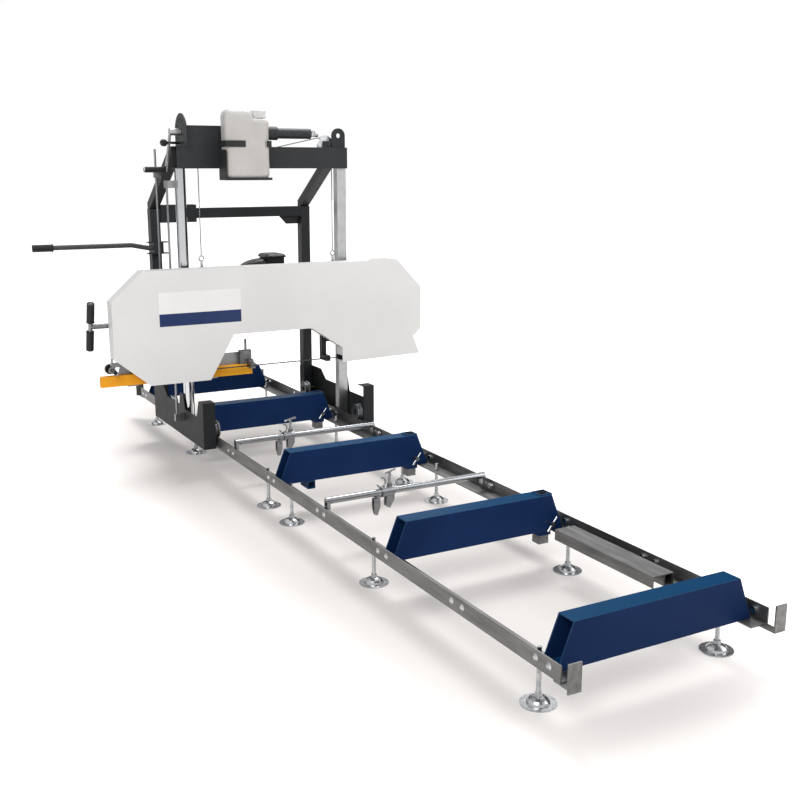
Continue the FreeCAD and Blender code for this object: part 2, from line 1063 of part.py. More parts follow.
# Rear posts, cross beam and slanting braces
post_half = rear_post / 2
rear_pieces = []
brace_outline = [
    (beam_back, brace_low),
    (beam_back, beam_top),
    (beam_back + brace_shoulder, beam_top),
    (rear_post_back, crossbeam_top + brace_heel),
    (rear_post_back, crossbeam_top),
    (rear_post_back - brace_toe, crossbeam_top),
]
for side in (-1, 1):
    centre = side * rear_post_x
    post = box_tube_z(
        centre - post_half,
        centre + post_half,
        rear_post_front,
        rear_post_back,
        floor_top,
        crossbeam_top,
        tube_wall,
    )
    brace = prism_x(brace_outline, centre - brace_width / 2, centre + brace_width / 2)
    rear_pieces += [post, brace]
beam_reach = rear_post_x - post_half
crossbeam = box_tube_x(
    -beam_reach,
    beam_reach,
    rear_post_front,
    rear_post_back,
    crossbeam_top - rear_post,
    crossbeam_top,
    tube_wall,
)
sleeve_middle = crossbeam_top - post_half
sleeve_y = (rear_post_front + rear_post_back) / 2
sleeve_box = box(
    -sleeve_box_start,
    -sleeve_box_end,
    sleeve_y - sleeve_box_depth / 2,
    sleeve_y + sleeve_box_depth / 2,
    sleeve_middle - sleeve_box_height / 2,
    sleeve_middle + sleeve_box_height / 2,
)
sleeve_hole = box(
    -sleeve_box_start,
    -sleeve_box_end,
    rear_post_front,
    rear_post_back,
    crossbeam_top - rear_post,
    crossbeam_top,
)
gusset_outline = [
    (beam_reach - gusset_long, crossbeam_top - rear_post),
    (beam_reach - gusset_short, crossbeam_top - rear_post - gusset_drop),
    (beam_reach, crossbeam_top - rear_post - gusset_drop),
    (beam_reach, crossbeam_top - rear_post),
]
gusset = prism_y(gusset_outline, sleeve_y - gusset_thickness / 2, sleeve_y + gusset_thickness / 2)
rear_pieces += [crossbeam, sleeve_box.cut(sleeve_hole), gusset]
keep("rear_frame", *rear_pieces)

# Top beam with the pulley slot, the cable holes and the lifting lug
beam = box_tube_x(
    -top_beam_reach,
    top_beam_reach,
    beam_front,
    beam_back,
    beam_bottom,
    beam_top,
    beam_wall,
)
cable_right_x = pulley_x + pulley_groove
slot_half = pulley_width / 2 + pulley_slot
slot_cut = box(
    pulley_x - pulley_radius - pulley_slot,
    pulley_x + pulley_radius + pulley_slot,
    column_y - slot_half,
    column_y + slot_half,
    beam_top - beam_wall - overrun,
    beam_top + overrun,
)
low_holes = [
    along_z(cable_hole, x, column_y, beam_bottom - overrun, beam_bottom + beam_wall + overrun)
    for x in (cable_left_x, cable_right_x)
]
top_holes = [
    along_z(cable_hole, x, column_y, beam_top - beam_wall - overrun, beam_top + overrun)
    for x in (cable_left_x,)
]
start_slot = box(
    cable_start_x - cable_hole,
    cable_start_x + cable_hole * 6,
    column_y - cable_hole,
    column_y + cable_hole,
    beam_top - beam_wall - overrun,
    beam_top + overrun,
)
beam = cut(beam, [slot_cut, start_slot] + low_holes + top_holes)
ears = []
for side in (-1, 1):
    inner = column_y + side * slot_half
    outer = inner + side * pulley_ear
    ear = box(
        pulley_x - pulley_ear * 2,
        pulley_x + pulley_ear * 2,
        min(inner, outer),
        max(inner, outer),
        beam_top,
        pulley_z + pulley_ear * 2,
    )
    ears.append(ear)
pin = along_y(
    pulley_pin,
    pulley_x,
    column_y - slot_half - pulley_ear,
    column_y + slot_half + pulley_ear,
    pulley_z,
)
lug_half = lug_width / 2
lug_front = beam_front + lug_thickness
lug = box(lug_x - lug_half, lug_x + lug_half, lug_front, lug_front + lug_thickness, beam_top, lug_z)
lug = join([lug, along_y(lug_half, lug_x, lug_front, lug_front + lug_thickness, lug_z)])
lug = lug.cut(along_y(lug_hole, lug_x, lug_front - overrun, lug_front + lug_thickness + overrun, lug_z))
keep("top_beam", join([beam, lug, pin] + ears))

# Cable pulley
pulley_half = pulley_width / 2
pulley_outline = [
    (pulley_bore, -pulley_half),
    (pulley_radius, -pulley_half),
    (pulley_groove - cable_radius - cable_gap, -cable_radius),
    (pulley_groove - cable_radius - cable_gap, cable_radius),
    (pulley_radius, pulley_half),
    (pulley_bore, pulley_half),
]
pulley_face = polygon_face([vector(pulley_x, column_y + b, pulley_z + a) for a, b in pulley_outline])
keep(
    "cable_pulley",
    pulley_face.revolve(vector(pulley_x, column_y, pulley_z), vector(0, 1, 0), full_turn),
)

# Winch housing, end plate and drum
housing = box(winch_left, winch_right, beam_front, beam_back, beam_top, winch_top)
housing_hollow = box(
    winch_left + winch_wall,
    winch_right - winch_wall,
    beam_front + winch_wall,
    beam_back - winch_wall,
    beam_top,
    winch_top - winch_wall,
)
end_plate = box(
    winch_left - winch_plate,
    winch_left,
    column_y - winch_plate_radius,
    column_y + winch_plate_radius,
    beam_top,
    drum_z,
)
round_top = along_x(winch_plate_radius, winch_left - winch_plate, winch_left, column_y, drum_z)
round_top = round_top.common(
    box(
        winch_left - winch_plate,
        winch_left,
        beam_front - winch_plate_radius,
        beam_back + winch_plate_radius,
        beam_top,
        winch_top + winch_plate_radius,
    )
)
end_plate = join([end_plate, round_top])
index_angles = [math.radians(crank_angle + full_turn * k / index_count) for k in range(index_count)]
index_places = [
    (column_y + lock_reach * math.sin(a), drum_z - lock_reach * math.cos(a))
    for a in index_angles
]
index_places = [(y, z) for y, z in index_places if z - lock_hole > beam_top]
housing = join([housing.cut(housing_hollow), end_plate])
drum_hole = along_x(
    drum_bore,
    winch_left - winch_plate - overrun,
    winch_right + overrun,
    column_y,
    drum_z,
)
plate_holes = [
    along_x(lock_hole, winch_left - winch_plate - overrun, winch_left + overrun, y, z)
    for y, z in index_places
]
keep("winch_housing", cut(housing, [drum_hole] + plate_holes))

drum = along_x(drum_radius, winch_left - winch_plate, drum_end, column_y, drum_z)
near_collar = along_x(
    drum_collar_radius,
    winch_right + drum_collar,
    winch_right + drum_collar * 5,
    column_y,
    drum_z,
)
thread = along_x(drum_thread_radius, drum_end, drum_end + drum_thread, column_y, drum_z)
keep("winch_drum", join([drum, near_collar, thread]))

# Crank arm, its pin and the grip that turns on the pin
plate_face = winch_left - winch_plate
hub_left = plate_face - crank_gap - crank_hub
arm_right = hub_left + crank_bar
crank_point = vector(
    hub_left,
    column_y + crank_reach * math.sin(math.radians(crank_angle)),
    drum_z - crank_reach * math.cos(math.radians(crank_angle)),
)
hub = along_x(crank_hub_radius, hub_left, plate_face - crank_gap, column_y, drum_z)
spigot = along_x(crank_hub_radius / 2, plate_face - crank_gap, plate_face, column_y, drum_z)
half_bar = crank_bar_width / 2
arm = box(hub_left, arm_right, column_y - half_bar, column_y + half_bar, drum_z - crank_reach, drum_z)
arm = join([arm, along_x(half_bar, hub_left, arm_right, column_y, drum_z - crank_reach)])
arm = turned(arm, vector(0, column_y, drum_z), vector(1, 0, 0), crank_angle)
lock_y, lock_z = index_places[0]
arm = join([arm, along_x(lock_boss_radius, hub_left, arm_right, lock_y, lock_z)])
arm = arm.cut(along_x(lock_bore, hub_left - overrun, arm_right + overrun, lock_y, lock_z))
pin_end = hub_left - grip_length - grip_flange
pin_part = along_x(crank_pin_radius, pin_end, hub_left, crank_point.y, crank_point.z)
pin_head = along_x(crank_pin_radius * 2, pin_end - grip_flange, pin_end, crank_point.y, crank_point.z)
keep("crank", join([hub, spigot, arm, pin_part, pin_head]))
grip_left = pin_end + wheel_side_gap
grip_right = hub_left - wheel_side_gap
grip = along_x(grip_radius, grip_left, grip_right, crank_point.y, crank_point.z)
grip_rim = along_x(
    grip_radius + grip_flange,
    grip_right - grip_flange,
    grip_right,
    crank_point.y,
    crank_point.z,
)
grip = join([grip, grip_rim])
keep("crank_grip", grip.cut(along_x(grip_bore, grip_left, grip_right, crank_point.y, crank_point.z)))

# Index pin on the crank arm, drawn out by its knob
stem = along_x(lock_stem, plate_face - lock_length, plate_face - lock_gap, lock_y, lock_z)
knob_near = plate_face - lock_length
knob_outline = [
    (knob_near + lock_ball / 2, 0),
    (knob_near + lock_ball / 2, lock_ball / 2),
    (knob_near, lock_ball),
    (knob_near - lock_ball, lock_ball),
    (knob_near - lock_ball * 3 / 2, lock_ball / 2),
    (knob_near - lock_ball * 3 / 2, 0),
]
knob_face = polygon_face([vector(x, lock_y, lock_z + r) for x, r in knob_outline])
knob = knob_face.revolve(vector(0, lock_y, lock_z), vector(1, 0, 0), full_turn)
keep("winch_lock", join([stem, knob]))

# Lifting cable: the part that runs over the pulley, then the two free hanging stretches
run_radius = pulley_groove
contact_angle = math.radians(cable_angle)
contact = vector(
    pulley_x - run_radius * math.cos(contact_angle),
    column_y,
    pulley_z + run_radius * math.sin(contact_angle),
)
top_point = vector(
    pulley_x + run_radius * math.cos(math.pi / 4),
    column_y,
    pulley_z + run_radius * math.sin(math.pi / 4),
)
side_point = vector(pulley_x + run_radius, column_y, pulley_z)
start_point = contact.add(
    vector(
        -math.sin(contact_angle),
        0,
        -math.cos(contact_angle),
    ).multiply((contact.x - cable_start_x) / math.sin(contact_angle))
)
low_point = vector(side_point.x, column_y, beam_bottom)
route = Part.Wire([
    Part.LineSegment(start_point, contact).toShape(),
    Part.Arc(contact, top_point, side_point).toShape(),
    Part.LineSegment(side_point, low_point).toShape(),
])
section = Part.Wire([Part.makeCircle(cable_radius, start_point, contact.sub(start_point))])
cable_run = route.makePipeShell([section], True, False)
left_run = along_z(cable_radius, cable_left_x, column_y, beam_bottom, drum_z - drum_radius - cable_gap)
keep("cable_run", cable_run, left_run)
hanging = [
    along_z(cable_radius, x, column_y, cable_low, beam_bottom)
    for x in (cable_left_x, cable_right_x)
]
keep("lift_cables", *hanging)


# Shackles at the cables' lower ends
def shackle(x):
    eye_z = cable_low - shackle_radius - shackle_bar
    ring = Part.makeTorus(shackle_radius, shackle_bar, vector(x, column_y, eye_z), vector(0, 1, 0))
    link_low = lift_lug_top - lift_lug
    link = box(
        x - shackle_bar,
        x + shackle_bar,
        column_y - lift_lug_thickness,
        column_y + lift_lug_thickness,
        link_low,
        eye_z - shackle_radius + shackle_bar / 2,
    )
    slot = box(
        x - shackle_bar * 2,
        x + shackle_bar * 2,
        column_y - lift_lug_thickness / 2 - slider_gap,
        column_y + lift_lug_thickness / 2 + slider_gap,
        link_low - overrun,
        lift_lug_top + slider_gap,
    )
    link = link.cut(slot)
    pin = along_y(
        shackle_bar,
        x,
        column_y - lift_lug_thickness,
        column_y + lift_lug_thickness,
        lift_lug_top - lift_lug / 2,
    )
    return join([ring, link, pin])


keep("cable_shackles", shackle(cable_left_x), shackle(cable_right_x))

# Water canister, cap and tray
jug_back = jug_front + jug_depth
jug_outline = [
    (jug_left, jug_bottom),
    (jug_left, jug_top - jug_chamfer),
    (jug_left + jug_chamfer, jug_top),
    (jug_left + jug_step, jug_top),
    (jug_left + jug_step + jug_chamfer / 2, jug_shoulder),
    (jug_right, jug_shoulder),
    (jug_right, jug_bottom),
]
jug = prism_y(jug_outline, jug_front, jug_back)
corner_edges = []
for edge in jug.Edges:
    points = [v.Point for v in edge.Vertexes]
    upright = abs(points[0].z - points[1].z) > jug_round * 2
    if upright and abs(points[0].x - points[1].x) < 1e-6:
        corner_edges.append(edge)
jug = jug.makeFillet(jug_round, corner_edges)
cap_x = jug_right - cap_radius - jug_chamfer / 4
cap_y = jug_front + jug_depth / 2
neck = along_z(neck_radius, cap_x, cap_y, jug_shoulder, jug_shoulder + neck_height)
keep("canister", join([jug, neck]))
cap_low = jug_shoulder + neck_gap
cap_shape = along_z(cap_radius, cap_x, cap_y, cap_low, cap_low + cap_height)
cap_hollow = along_z(neck_radius + clamp_gap, cap_x, cap_y, cap_low, cap_low + cap_height - cap_wall)
keep("canister_cap", cap_shape.cut(cap_hollow))

tray_left = jug_left - tray_gap - tray_wall
tray_right = jug_right + tray_gap + tray_wall
tray_front = jug_front - tray_gap
tray_low = jug_bottom - tray_wall
floor_sheet = box(tray_left, tray_right, tray_front - tray_wall, beam_front, tray_low, jug_bottom)
back_panel = box(
    tray_left,
    tray_right,
    jug_back + tray_gap,
    beam_front,
    tray_low,
    tray_strap_z + tray_strap,
)
side_outline = [
    (tray_front - tray_wall, tray_low),
    (tray_front - tray_wall, tray_low + tray_side),
    (beam_front, tray_low + tray_side),
    (beam_front, tray_low),
]
left_side = prism_x(side_outline, tray_left, tray_left + tray_wall)
strap_side = box(
    tray_left,
    tray_left + tray_wall,
    tray_front - tray_wall,
    beam_front,
    tray_strap_z,
    tray_strap_z + tray_strap,
)
strap_left = box(
    tray_left,
    tray_left + tray_strap_left,
    tray_front - tray_wall,
    tray_front,
    tray_strap_z,
    tray_strap_z + tray_strap,
)
right_side = box(
    tray_right - tray_wall,
    tray_right,
    tray_front - tray_wall,
    beam_front,
    tray_low,
    tray_low + tray_lip,
)
right_strap = box(
    tray_right - tray_wall,
    tray_right,
    tray_front - tray_wall,
    beam_front,
    tray_strap_z,
    tray_strap_z + tray_strap,
)
right_hook = box(
    tray_right - tray_strap_right,
    tray_right,
    tray_front - tray_wall,
    tray_front,
    tray_strap_z,
    tray_strap_z + tray_strap,
)
front_lip = box(
    tray_left,
    tray_right,
    tray_front - tray_wall,
    tray_front,
    tray_low,
    tray_low + tray_lip,
)
keep(
    "canister_tray",
    join(
        [
            floor_sheet,
            back_panel,
            left_side,
            strap_side,
            strap_left,
            right_side,
            right_strap,
            right_hook,
            front_lip,
        ]
    ),
)

# Push handle: a bent tube with a grip, clamped on the left rear post
elbow = vector(push_elbow_x, push_y, push_z)
tube_end = vector(push_end_x, push_y, push_end_z)
straight = rod(push_radius, vector(push_grip_start - push_grip_overlap * 2, push_y, push_z), elbow)
drop = rod(push_radius, elbow, tube_end)
tail = along_x(push_radius, push_end_x, -rear_post_x + post_half, push_y, push_end_z)
bend = Part.makeSphere(push_radius, elbow)
bend_two = Part.makeSphere(push_radius, tube_end)
push_tube = join([straight, drop, bend, bend_two, tail])
grip_end = push_grip_start - push_grip_length
push_grip = along_x(push_grip_radius, grip_end, push_grip_start, push_y, push_z)
push_grip = push_grip.cut(push_tube)
keep("push_handle", push_tube, push_grip)

clamps = []
clamp_left = -rear_post_x - post_half
clamp_right = -rear_post_x + post_half
for side in (-1, 1):
    middle = push_end_z + side * push_clamp_gap
    plate_low = middle - push_clamp_plate / 2
    front = push_y - push_radius - push_clamp_plate
    plate = box(
        clamp_left - push_clamp_ear,
        clamp_right + push_clamp_ear,
        front,
        rear_post_front,
        plate_low,
        plate_low + push_clamp_plate,
    )
    clamps.append(plate)
saddle = box(
    clamp_left,
    clamp_right,
    front,
    rear_post_front,
    push_end_z - push_clamp_gap,
    push_end_z + push_clamp_gap,
)
saddle = saddle.cut(along_x(push_radius, clamp_left, clamp_right, push_y, push_end_z))
keep("handle_clamp", join([saddle] + clamps))

# Two upright rods on the left, each held by blocks on the frame
rod_a = along_z(rod_radius, rod_a_x, rod_a_y, rod_a_low, rod_a_top)
hold_a = box(
    rod_a_x - rod_hold_reach,
    -rear_post_x - brace_width / 2,
    rod_a_y - rod_hold_reach,
    rod_a_y + rod_hold_reach,
    rod_a_hold,
    rod_a_hold + rod_hold_height,
)
rod_b = along_z(rod_radius, rod_b_x, rod_b_y, rod_b_low, rod_b_top)
hold_left = rod_b_x - rod_hold_reach
hold_front = rod_b_y - rod_hold_reach
hold_back = rod_b_y + rod_hold_reach
foot_b = box(hold_left, -base_outer, hold_front, hold_back, rod_b_low, rod_b_low + rod_hold_height)
head_b = box(
    hold_left,
    -column_x - column_radius / 2,
    hold_front,
    hold_back,
    rod_b_hold,
    rod_b_hold + rod_hold_height,
)
head_b = head_b.cut(
    along_z(column_radius, -column_x, column_y, rod_b_hold, rod_b_hold + rod_hold_height)
)
keep("upright_rods", join([rod_a, hold_a]), join([rod_b, foot_b, head_b]))


# Saw head guard: a folded sheet cover with a notch for the log
def inset(points, distance):
    moved = []
    count = len(points)
    for k in range(count):
        before, here, after = points[k - 1], points[k], points[(k + 1) % count]
        in_a = math.atan2(here[1] - before[1], here[0] - before[0])
        in_b = math.atan2(after[1] - here[1], after[0] - here[0])
        half = (in_b - in_a) / 2
        middle = in_a + half - math.pi / 2
        reach = distance / math.cos(half)
        moved.append((here[0] + reach * math.cos(middle), here[1] + reach * math.sin(middle)))
    return moved


guard = prism_y(guard_places, guard_front, guard_back)
guard = guard.cut(
    prism_y(inset(guard_places, guard_sheet), guard_front + guard_sheet, guard_back + overrun)
)
throat_left = band_left_x + band_radius
throat_right = band_right_x - band_radius
blade_window = box(
    throat_left,
    throat_right,
    guard_front + guard_sheet * 2,
    guard_back + overrun,
    blade_under - pad_height,
    blade_over + pad_height,
)
keep("guard_cover", guard.cut(blade_window))

# Head frame: back plate, cross tube, two sliders, the rear arms and the engine deck
back_plate = prism_y(guard_places, guard_back, plate_back)
cross_tube = box_tube_x(
    head_beam_left,
    head_beam_right,
    plate_back,
    head_beam_back,
    head_beam_low,
    head_beam_low + head_beam_height,
    head_beam_wall,
)
end_cap = box(
    head_beam_left - head_beam_wall,
    head_beam_left,
    plate_back,
    head_beam_back,
    head_beam_low,
    head_beam_low + head_beam_height,
)
slider_half = slider_size / 2
slider_high = slider_low + slider_height
slider_front = head_beam_back
slider_back = column_y + slider_half
head_parts = [back_plate, cross_tube, end_cap]
for side in (-1, 1):
    x = side * column_x
    head_parts.append(
        box(x - slider_half, x + slider_half, slider_front, slider_back, slider_low, slider_high)
    )
    head_parts.append(
        box(
            x - arm_size / 2,
            x + arm_size / 2,
            slider_back,
            rear_tube_y + arm_size,
            deck_low + deck_sheet,
            deck_low + deck_sheet + arm_size,
        )
    )
rear_tube = box(
    -column_x,
    column_x,
    rear_tube_y,
    rear_tube_y + arm_size,
    deck_low + deck_sheet,
    deck_low + deck_sheet + arm_size,
)
deck = box(deck_left, deck_right, rear_tube_y, deck_back, deck_low, deck_low + deck_sheet)


def lift_ear(side, x):
    start = side * (column_x - slider_half)
    end = x - side * lift_lug / 2
    outline = [
        (start, slider_high - lift_lug * 3),
        (start, slider_high),
        (x + side * lift_lug / 2, slider_high),
        (x + side * lift_lug / 2, lift_lug_top),
        (end, lift_lug_top),
        (end, slider_high - lift_lug * 3),
    ]
    return prism_y(outline, column_y - lift_lug_thickness / 2, column_y + lift_lug_thickness / 2)


left_lug = lift_ear(-1, cable_left_x)
right_lug = lift_ear(1, cable_right_x)
head_parts += [rear_tube, deck, left_lug, right_lug]
head = join(head_parts)
lug_holes = [
    along_y(
        shackle_bar + slider_gap,
        x,
        column_y - lift_lug,
        column_y + lift_lug,
        lift_lug_top - lift_lug / 2,
    )
    for x in (cable_left_x, cable_right_x)
]
left_bore = along_z(slider_bore, -column_x, column_y, slider_low - overrun, slider_high + overrun)
right_bore = box(
    column_x - column_side / 2 - slider_gap,
    column_x + column_side / 2 + slider_gap,
    column_y - column_depth / 2 - slider_gap,
    column_y + column_depth / 2 + slider_gap,
    slider_low - overrun,
    slider_high + overrun,
)
slot_reach = shaft_radius + shaft_slot_gap
axle_slot = box(
    band_left_x,
    band_left_x + tension_travel,
    guard_back - overrun,
    plate_back + head_beam_wall,
    head_z - slot_reach,
    head_z + slot_reach,
)
axle_slot_ends = [
    along_y(slot_reach, x, guard_back - overrun, plate_back + head_beam_wall, head_z)
    for x in (band_left_x, band_left_x + tension_travel)
]
drive_bore = along_y(shaft_bore, band_right_x, guard_back - overrun, head_beam_back + overrun, head_z)
screw_hole = along_x(
    tension_bore,
    head_beam_left - head_beam_wall - overrun,
    head_beam_left + overrun,
    tension_y,
    tension_z,
)
head = cut(
    head,
    [left_bore, right_bore, axle_slot, drive_bore, screw_hole] + axle_slot_ends + lug_holes,
)
keep("head_frame", head)


# Band wheels with a lightened web and a rubber tyre
def band_wheel(x):
    middle = band_front + band_width / 2
    tyre_seat = band_radius - band_tyre
    rim = along_y(tyre_seat, x, band_front, band_front + band_width, head_z)
    rim = rim.cut(along_y(tyre_seat - band_rim, x, band_front, band_front + band_width, head_z))
    web = along_y(tyre_seat - band_rim / 2, x, middle - band_web / 2, middle + band_web / 2, head_z)
    hub = along_y(band_hub_radius, x, band_front, band_front + band_width, head_z)
    wheel = join([rim, web, hub])
    holes = []
    for k in range(band_hole_count):
        angle = math.radians(full_turn * k / band_hole_count)
        hole_x = x + band_hole_circle * math.cos(angle)
        hole_z = head_z + band_hole_circle * math.sin(angle)
        holes.append(along_y(band_hole_radius, hole_x, band_front, band_front + band_width, hole_z))
    holes.append(along_y(shaft_bore, x, band_front, band_front + band_width, head_z))
    return cut(wheel, holes)


def band_tyre_ring(x):
    ring = along_y(band_radius, x, band_front, band_front + band_width, head_z)
    return ring.cut(along_y(band_radius - band_tyre, x, band_front, band_front + band_width, head_z))


keep("band_wheel_left", band_wheel(band_left_x), band_tyre_ring(band_left_x))
keep("band_wheel_right", band_wheel(band_right_x), band_tyre_ring(band_right_x))

# Drive shaft behind the right band wheel, with the large pulley
shaft = along_y(shaft_radius, band_right_x, band_front, pulley_back, head_z)
shaft_head = along_y(shaft_collar, band_right_x, band_front - head_beam_wall, band_front, head_z)
large_pulley = along_y(pulley_large, band_right_x, pulley_front, pulley_back, head_z)
groove_low = pulley_front + (pulley_rim - belt_width) / 2
large_groove = along_y(pulley_large, band_right_x, groove_low, groove_low + belt_width, head_z)
large_groove = large_groove.cut(
    along_y(pulley_large - belt_thickness, band_right_x, groove_low, groove_low + belt_width, head_z)
)
keep("drive_shaft", join([shaft, shaft_head, large_pulley]).cut(large_groove))


# Saw blade: a thin steel loop round both wheels, its teeth facing the near end
def loop_solid(radius_a, radius_b, x_a, z_a, x_b, z_b, y0, y1):
    span = math.hypot(x_b - x_a, z_b - z_a)
    tilt = math.atan2(z_b - z_a, x_b - x_a)
    lean = math.asin((radius_a - radius_b) / span)
    up = tilt + math.pi / 2 - lean
    down = tilt - math.pi / 2 + lean

    def at(x, z, radius, angle):
        return vector(x + radius * math.cos(angle), y0, z + radius * math.sin(angle))

    wire = Part.Wire([
        Part.LineSegment(at(x_a, z_a, radius_a, up), at(x_b, z_b, radius_b, up)).toShape(),
        Part.Arc(
            at(x_b, z_b, radius_b, up),
            at(x_b, z_b, radius_b, tilt),
            at(x_b, z_b, radius_b, down),
        ).toShape(),
        Part.LineSegment(at(x_b, z_b, radius_b, down), at(x_a, z_a, radius_a, down)).toShape(),
        Part.Arc(
            at(x_a, z_a, radius_a, down),
            at(x_a, z_a, radius_a, tilt + math.pi),
            at(x_a, z_a, radius_a, up),
        ).toShape(),
    ])
    return Part.Face(wire).extrude(vector(0, y1 - y0, 0))


def tooth_gullet():
    tip = blade_front - overrun
    root = blade_front + tooth_depth
    points = [
        vector(-tooth_gap, tip, 0),
        vector(tooth_gap / 2, tip, 0),
        vector(tooth_gap / 2, root, 0),
        vector(0, root, 0),
    ]
    face = polygon_face(points)
    solid = face.extrude(vector(0, 0, band_gap * 4 + blade_thickness * 2))
    return solid


def gullet_at(x, z, angle):
    gullet = tooth_gullet()
    gullet.rotate(vector(0, 0, 0), vector(0, 1, 0), angle)
    gullet.translate(vector(x, 0, z))
    return gullet


span = band_right_x - band_left_x
straight_teeth = int(span / tooth_spacing)
turn_teeth = int(math.pi * blade_outer / tooth_spacing)
start_radius = blade_inner - band_gap * 2
gullets = []
for k in range(straight_teeth):
    x = band_left_x + span * (k + 0.5) / straight_teeth
    gullets.append(gullet_at(x, head_z + start_radius, 0))
    gullets.append(gullet_at(x, head_z - start_radius, half_turn))
for k in range(turn_teeth):
    angle = half_turn * (k + 0.5) / turn_teeth
    for x_centre, sign in ((band_right_x, 1), (band_left_x, -1)):
        turn = sign * angle
        place_x = x_centre + start_radius * math.sin(math.radians(turn))
        place_z = head_z + start_radius * math.cos(math.radians(turn))
        gullets.append(gullet_at(place_x, place_z, turn))
blade = loop_solid(
    blade_outer,
    blade_outer,
    band_left_x,
    head_z,
    band_right_x,
    head_z,
    blade_front,
    blade_back,
)
blade = blade.cut(
    loop_solid(
        blade_inner,
        blade_inner,
        band_left_x,
        head_z,
        band_right_x,
        head_z,
        blade_front,
        blade_back,
    )
)
keep("saw_blade", cut(blade, gullets))

# Tension slide block with the left axle, and the cross handled screw
slide_low = head_beam_low + head_beam_wall + slide_gap
slide_high = head_beam_low + head_beam_height - head_beam_wall - slide_gap
slide_left = band_left_x - slide_block / 2
block = box(
    slide_left,
    slide_left + slide_block,
    plate_back + head_beam_wall + slide_gap,
    head_beam_back - head_beam_wall - slide_gap,
    slide_low,
    slide_high,
)
left_axle = along_y(
    shaft_radius,
    band_left_x,
    band_front,
    plate_back + head_beam_wall + slide_gap,
    head_z,
)
axle_cap = along_y(
    shaft_collar,
    band_left_x,
    band_front - head_beam_wall - band_spin_gap,
    band_front - band_spin_gap,
    head_z,
)
axle_tip = along_y(shaft_radius, band_left_x, band_front - band_spin_gap, band_front, head_z)
block = join([block, left_axle, axle_cap, axle_tip])
block = block.cut(
    along_x(tension_bore, slide_left, slide_left + slide_bore_depth, tension_y, tension_z)
)
keep("tension_slider", block)

screw_tip = slide_left + slide_bore_depth - slide_tip_gap
screw = along_x(tension_screw, tension_stem_start, screw_tip, tension_y, tension_z)
stem_tube = along_x(tension_stem, tension_end_x, tension_stem_start, tension_y, tension_z)
cross_bar = along_z(
    tension_bar,
    tension_end_x,
    tension_y,
    tension_z - tension_reach,
    tension_z + tension_reach,
)
grips = []
for side in (-1, 1):
    low = tension_z + side * (tension_reach - tension_grip_length)
    high = tension_z + side * tension_reach
    grips.append(along_z(tension_grip, tension_end_x, tension_y, min(low, high), max(low, high)))
cross = join([cross_bar] + grips)
cross = turned(cross, vector(tension_end_x, tension_y, tension_z), vector(1, 0, 0), tension_tilt)
keep("tension_handle", join([screw, stem_tube, cross]))

# Guide plate with its lips, the fixed right hand guide and the arm on the left
plate_front = head_beam_back
plate_rear = plate_front + guide_plate_thickness
tab_top = head_beam_low + head_beam_height / 2
plate_outline = [
    (guide_plate_left, guide_plate_low),
    (guide_plate_left + guide_plate_slant, guide_plate_top),
    (guide_plate_right, guide_plate_top),
    (guide_plate_right, guide_plate_low),
]
guide_parts = [prism_y(plate_outline, plate_front, plate_rear)]
for x in guide_tab_places:
    guide_parts.append(box(x, x + guide_tab, plate_front, plate_rear, guide_plate_low, tab_top))
    lip_top = guide_bar_low - guide_bar_gap
    guide_parts.append(box(x, x + guide_tab, bar_front, plate_rear, lip_top - guide_lip, lip_top))
    guide_parts.append(
        box(x, x + guide_tab, plate_front, plate_rear, lip_top - guide_lip, guide_plate_low)
    )
arm_front = tension_y - arm_width / 2
arm_back = tension_y + arm_width / 2
guide_parts.append(box(arm_x, arm_x + arm_bar, arm_front, arm_back, lock_z_low, arm_top))
guide_parts.append(
    box(
        arm_x,
        guide_plate_left + guide_plate_slant,
        arm_back - arm_bar,
        plate_rear,
        guide_plate_top - arm_foot,
        guide_plate_top,
    )
)
lock_x = arm_x + arm_bar / 2
guide_parts.append(along_y(lock_boss, lock_x, arm_front, arm_back, lock_z_low))
guide_plate = join(guide_parts)
arm_hole = along_x(tension_bore, arm_x - overrun, arm_x + arm_bar + overrun, tension_y, tension_z)
lock_hole_low = along_y(lock_shaft_bore, lock_x, arm_front - overrun, arm_back + overrun, lock_z_low)
guide_plate = cut(guide_plate, [arm_hole, lock_hole_low])


def guide_jaw(x0, x1, back):
    pads = [
        box(
            x0,
            x1,
            blade_front + tooth_depth + pad_margin,
            back,
            blade_over + pad_gap,
            blade_over + pad_gap + pad_height,
        ),
        box(
            x0,
            x1,
            blade_front + tooth_depth + pad_margin,
            back,
            blade_under - pad_gap - pad_height,
            blade_under - pad_gap,
        ),
        box(
            x0,
            x1,
            blade_back + pad_margin,
            back,
            blade_under - pad_gap - pad_height,
            blade_over + pad_gap + pad_height,
        ),
    ]
    return join(pads)


fixed_jaw = guide_jaw(fixed_left, fixed_left + pad_length, bar_front)
fixed_body = box(
    fixed_left,
    fixed_right,
    bar_front,
    head_beam_back,
    blade_under - pad_gap - pad_height,
    head_beam_low,
)
fixed_body = fixed_body.cut(
    box(
        fixed_left + pad_length,
        fixed_right + overrun,
        bar_front - overrun,
        head_beam_back + overrun,
        blade_under - pad_gap - pad_height - overrun,
        head_z - band_radius + fixed_web,
    )
)
keep("guide_plate", guide_plate, join([fixed_jaw, fixed_body]))

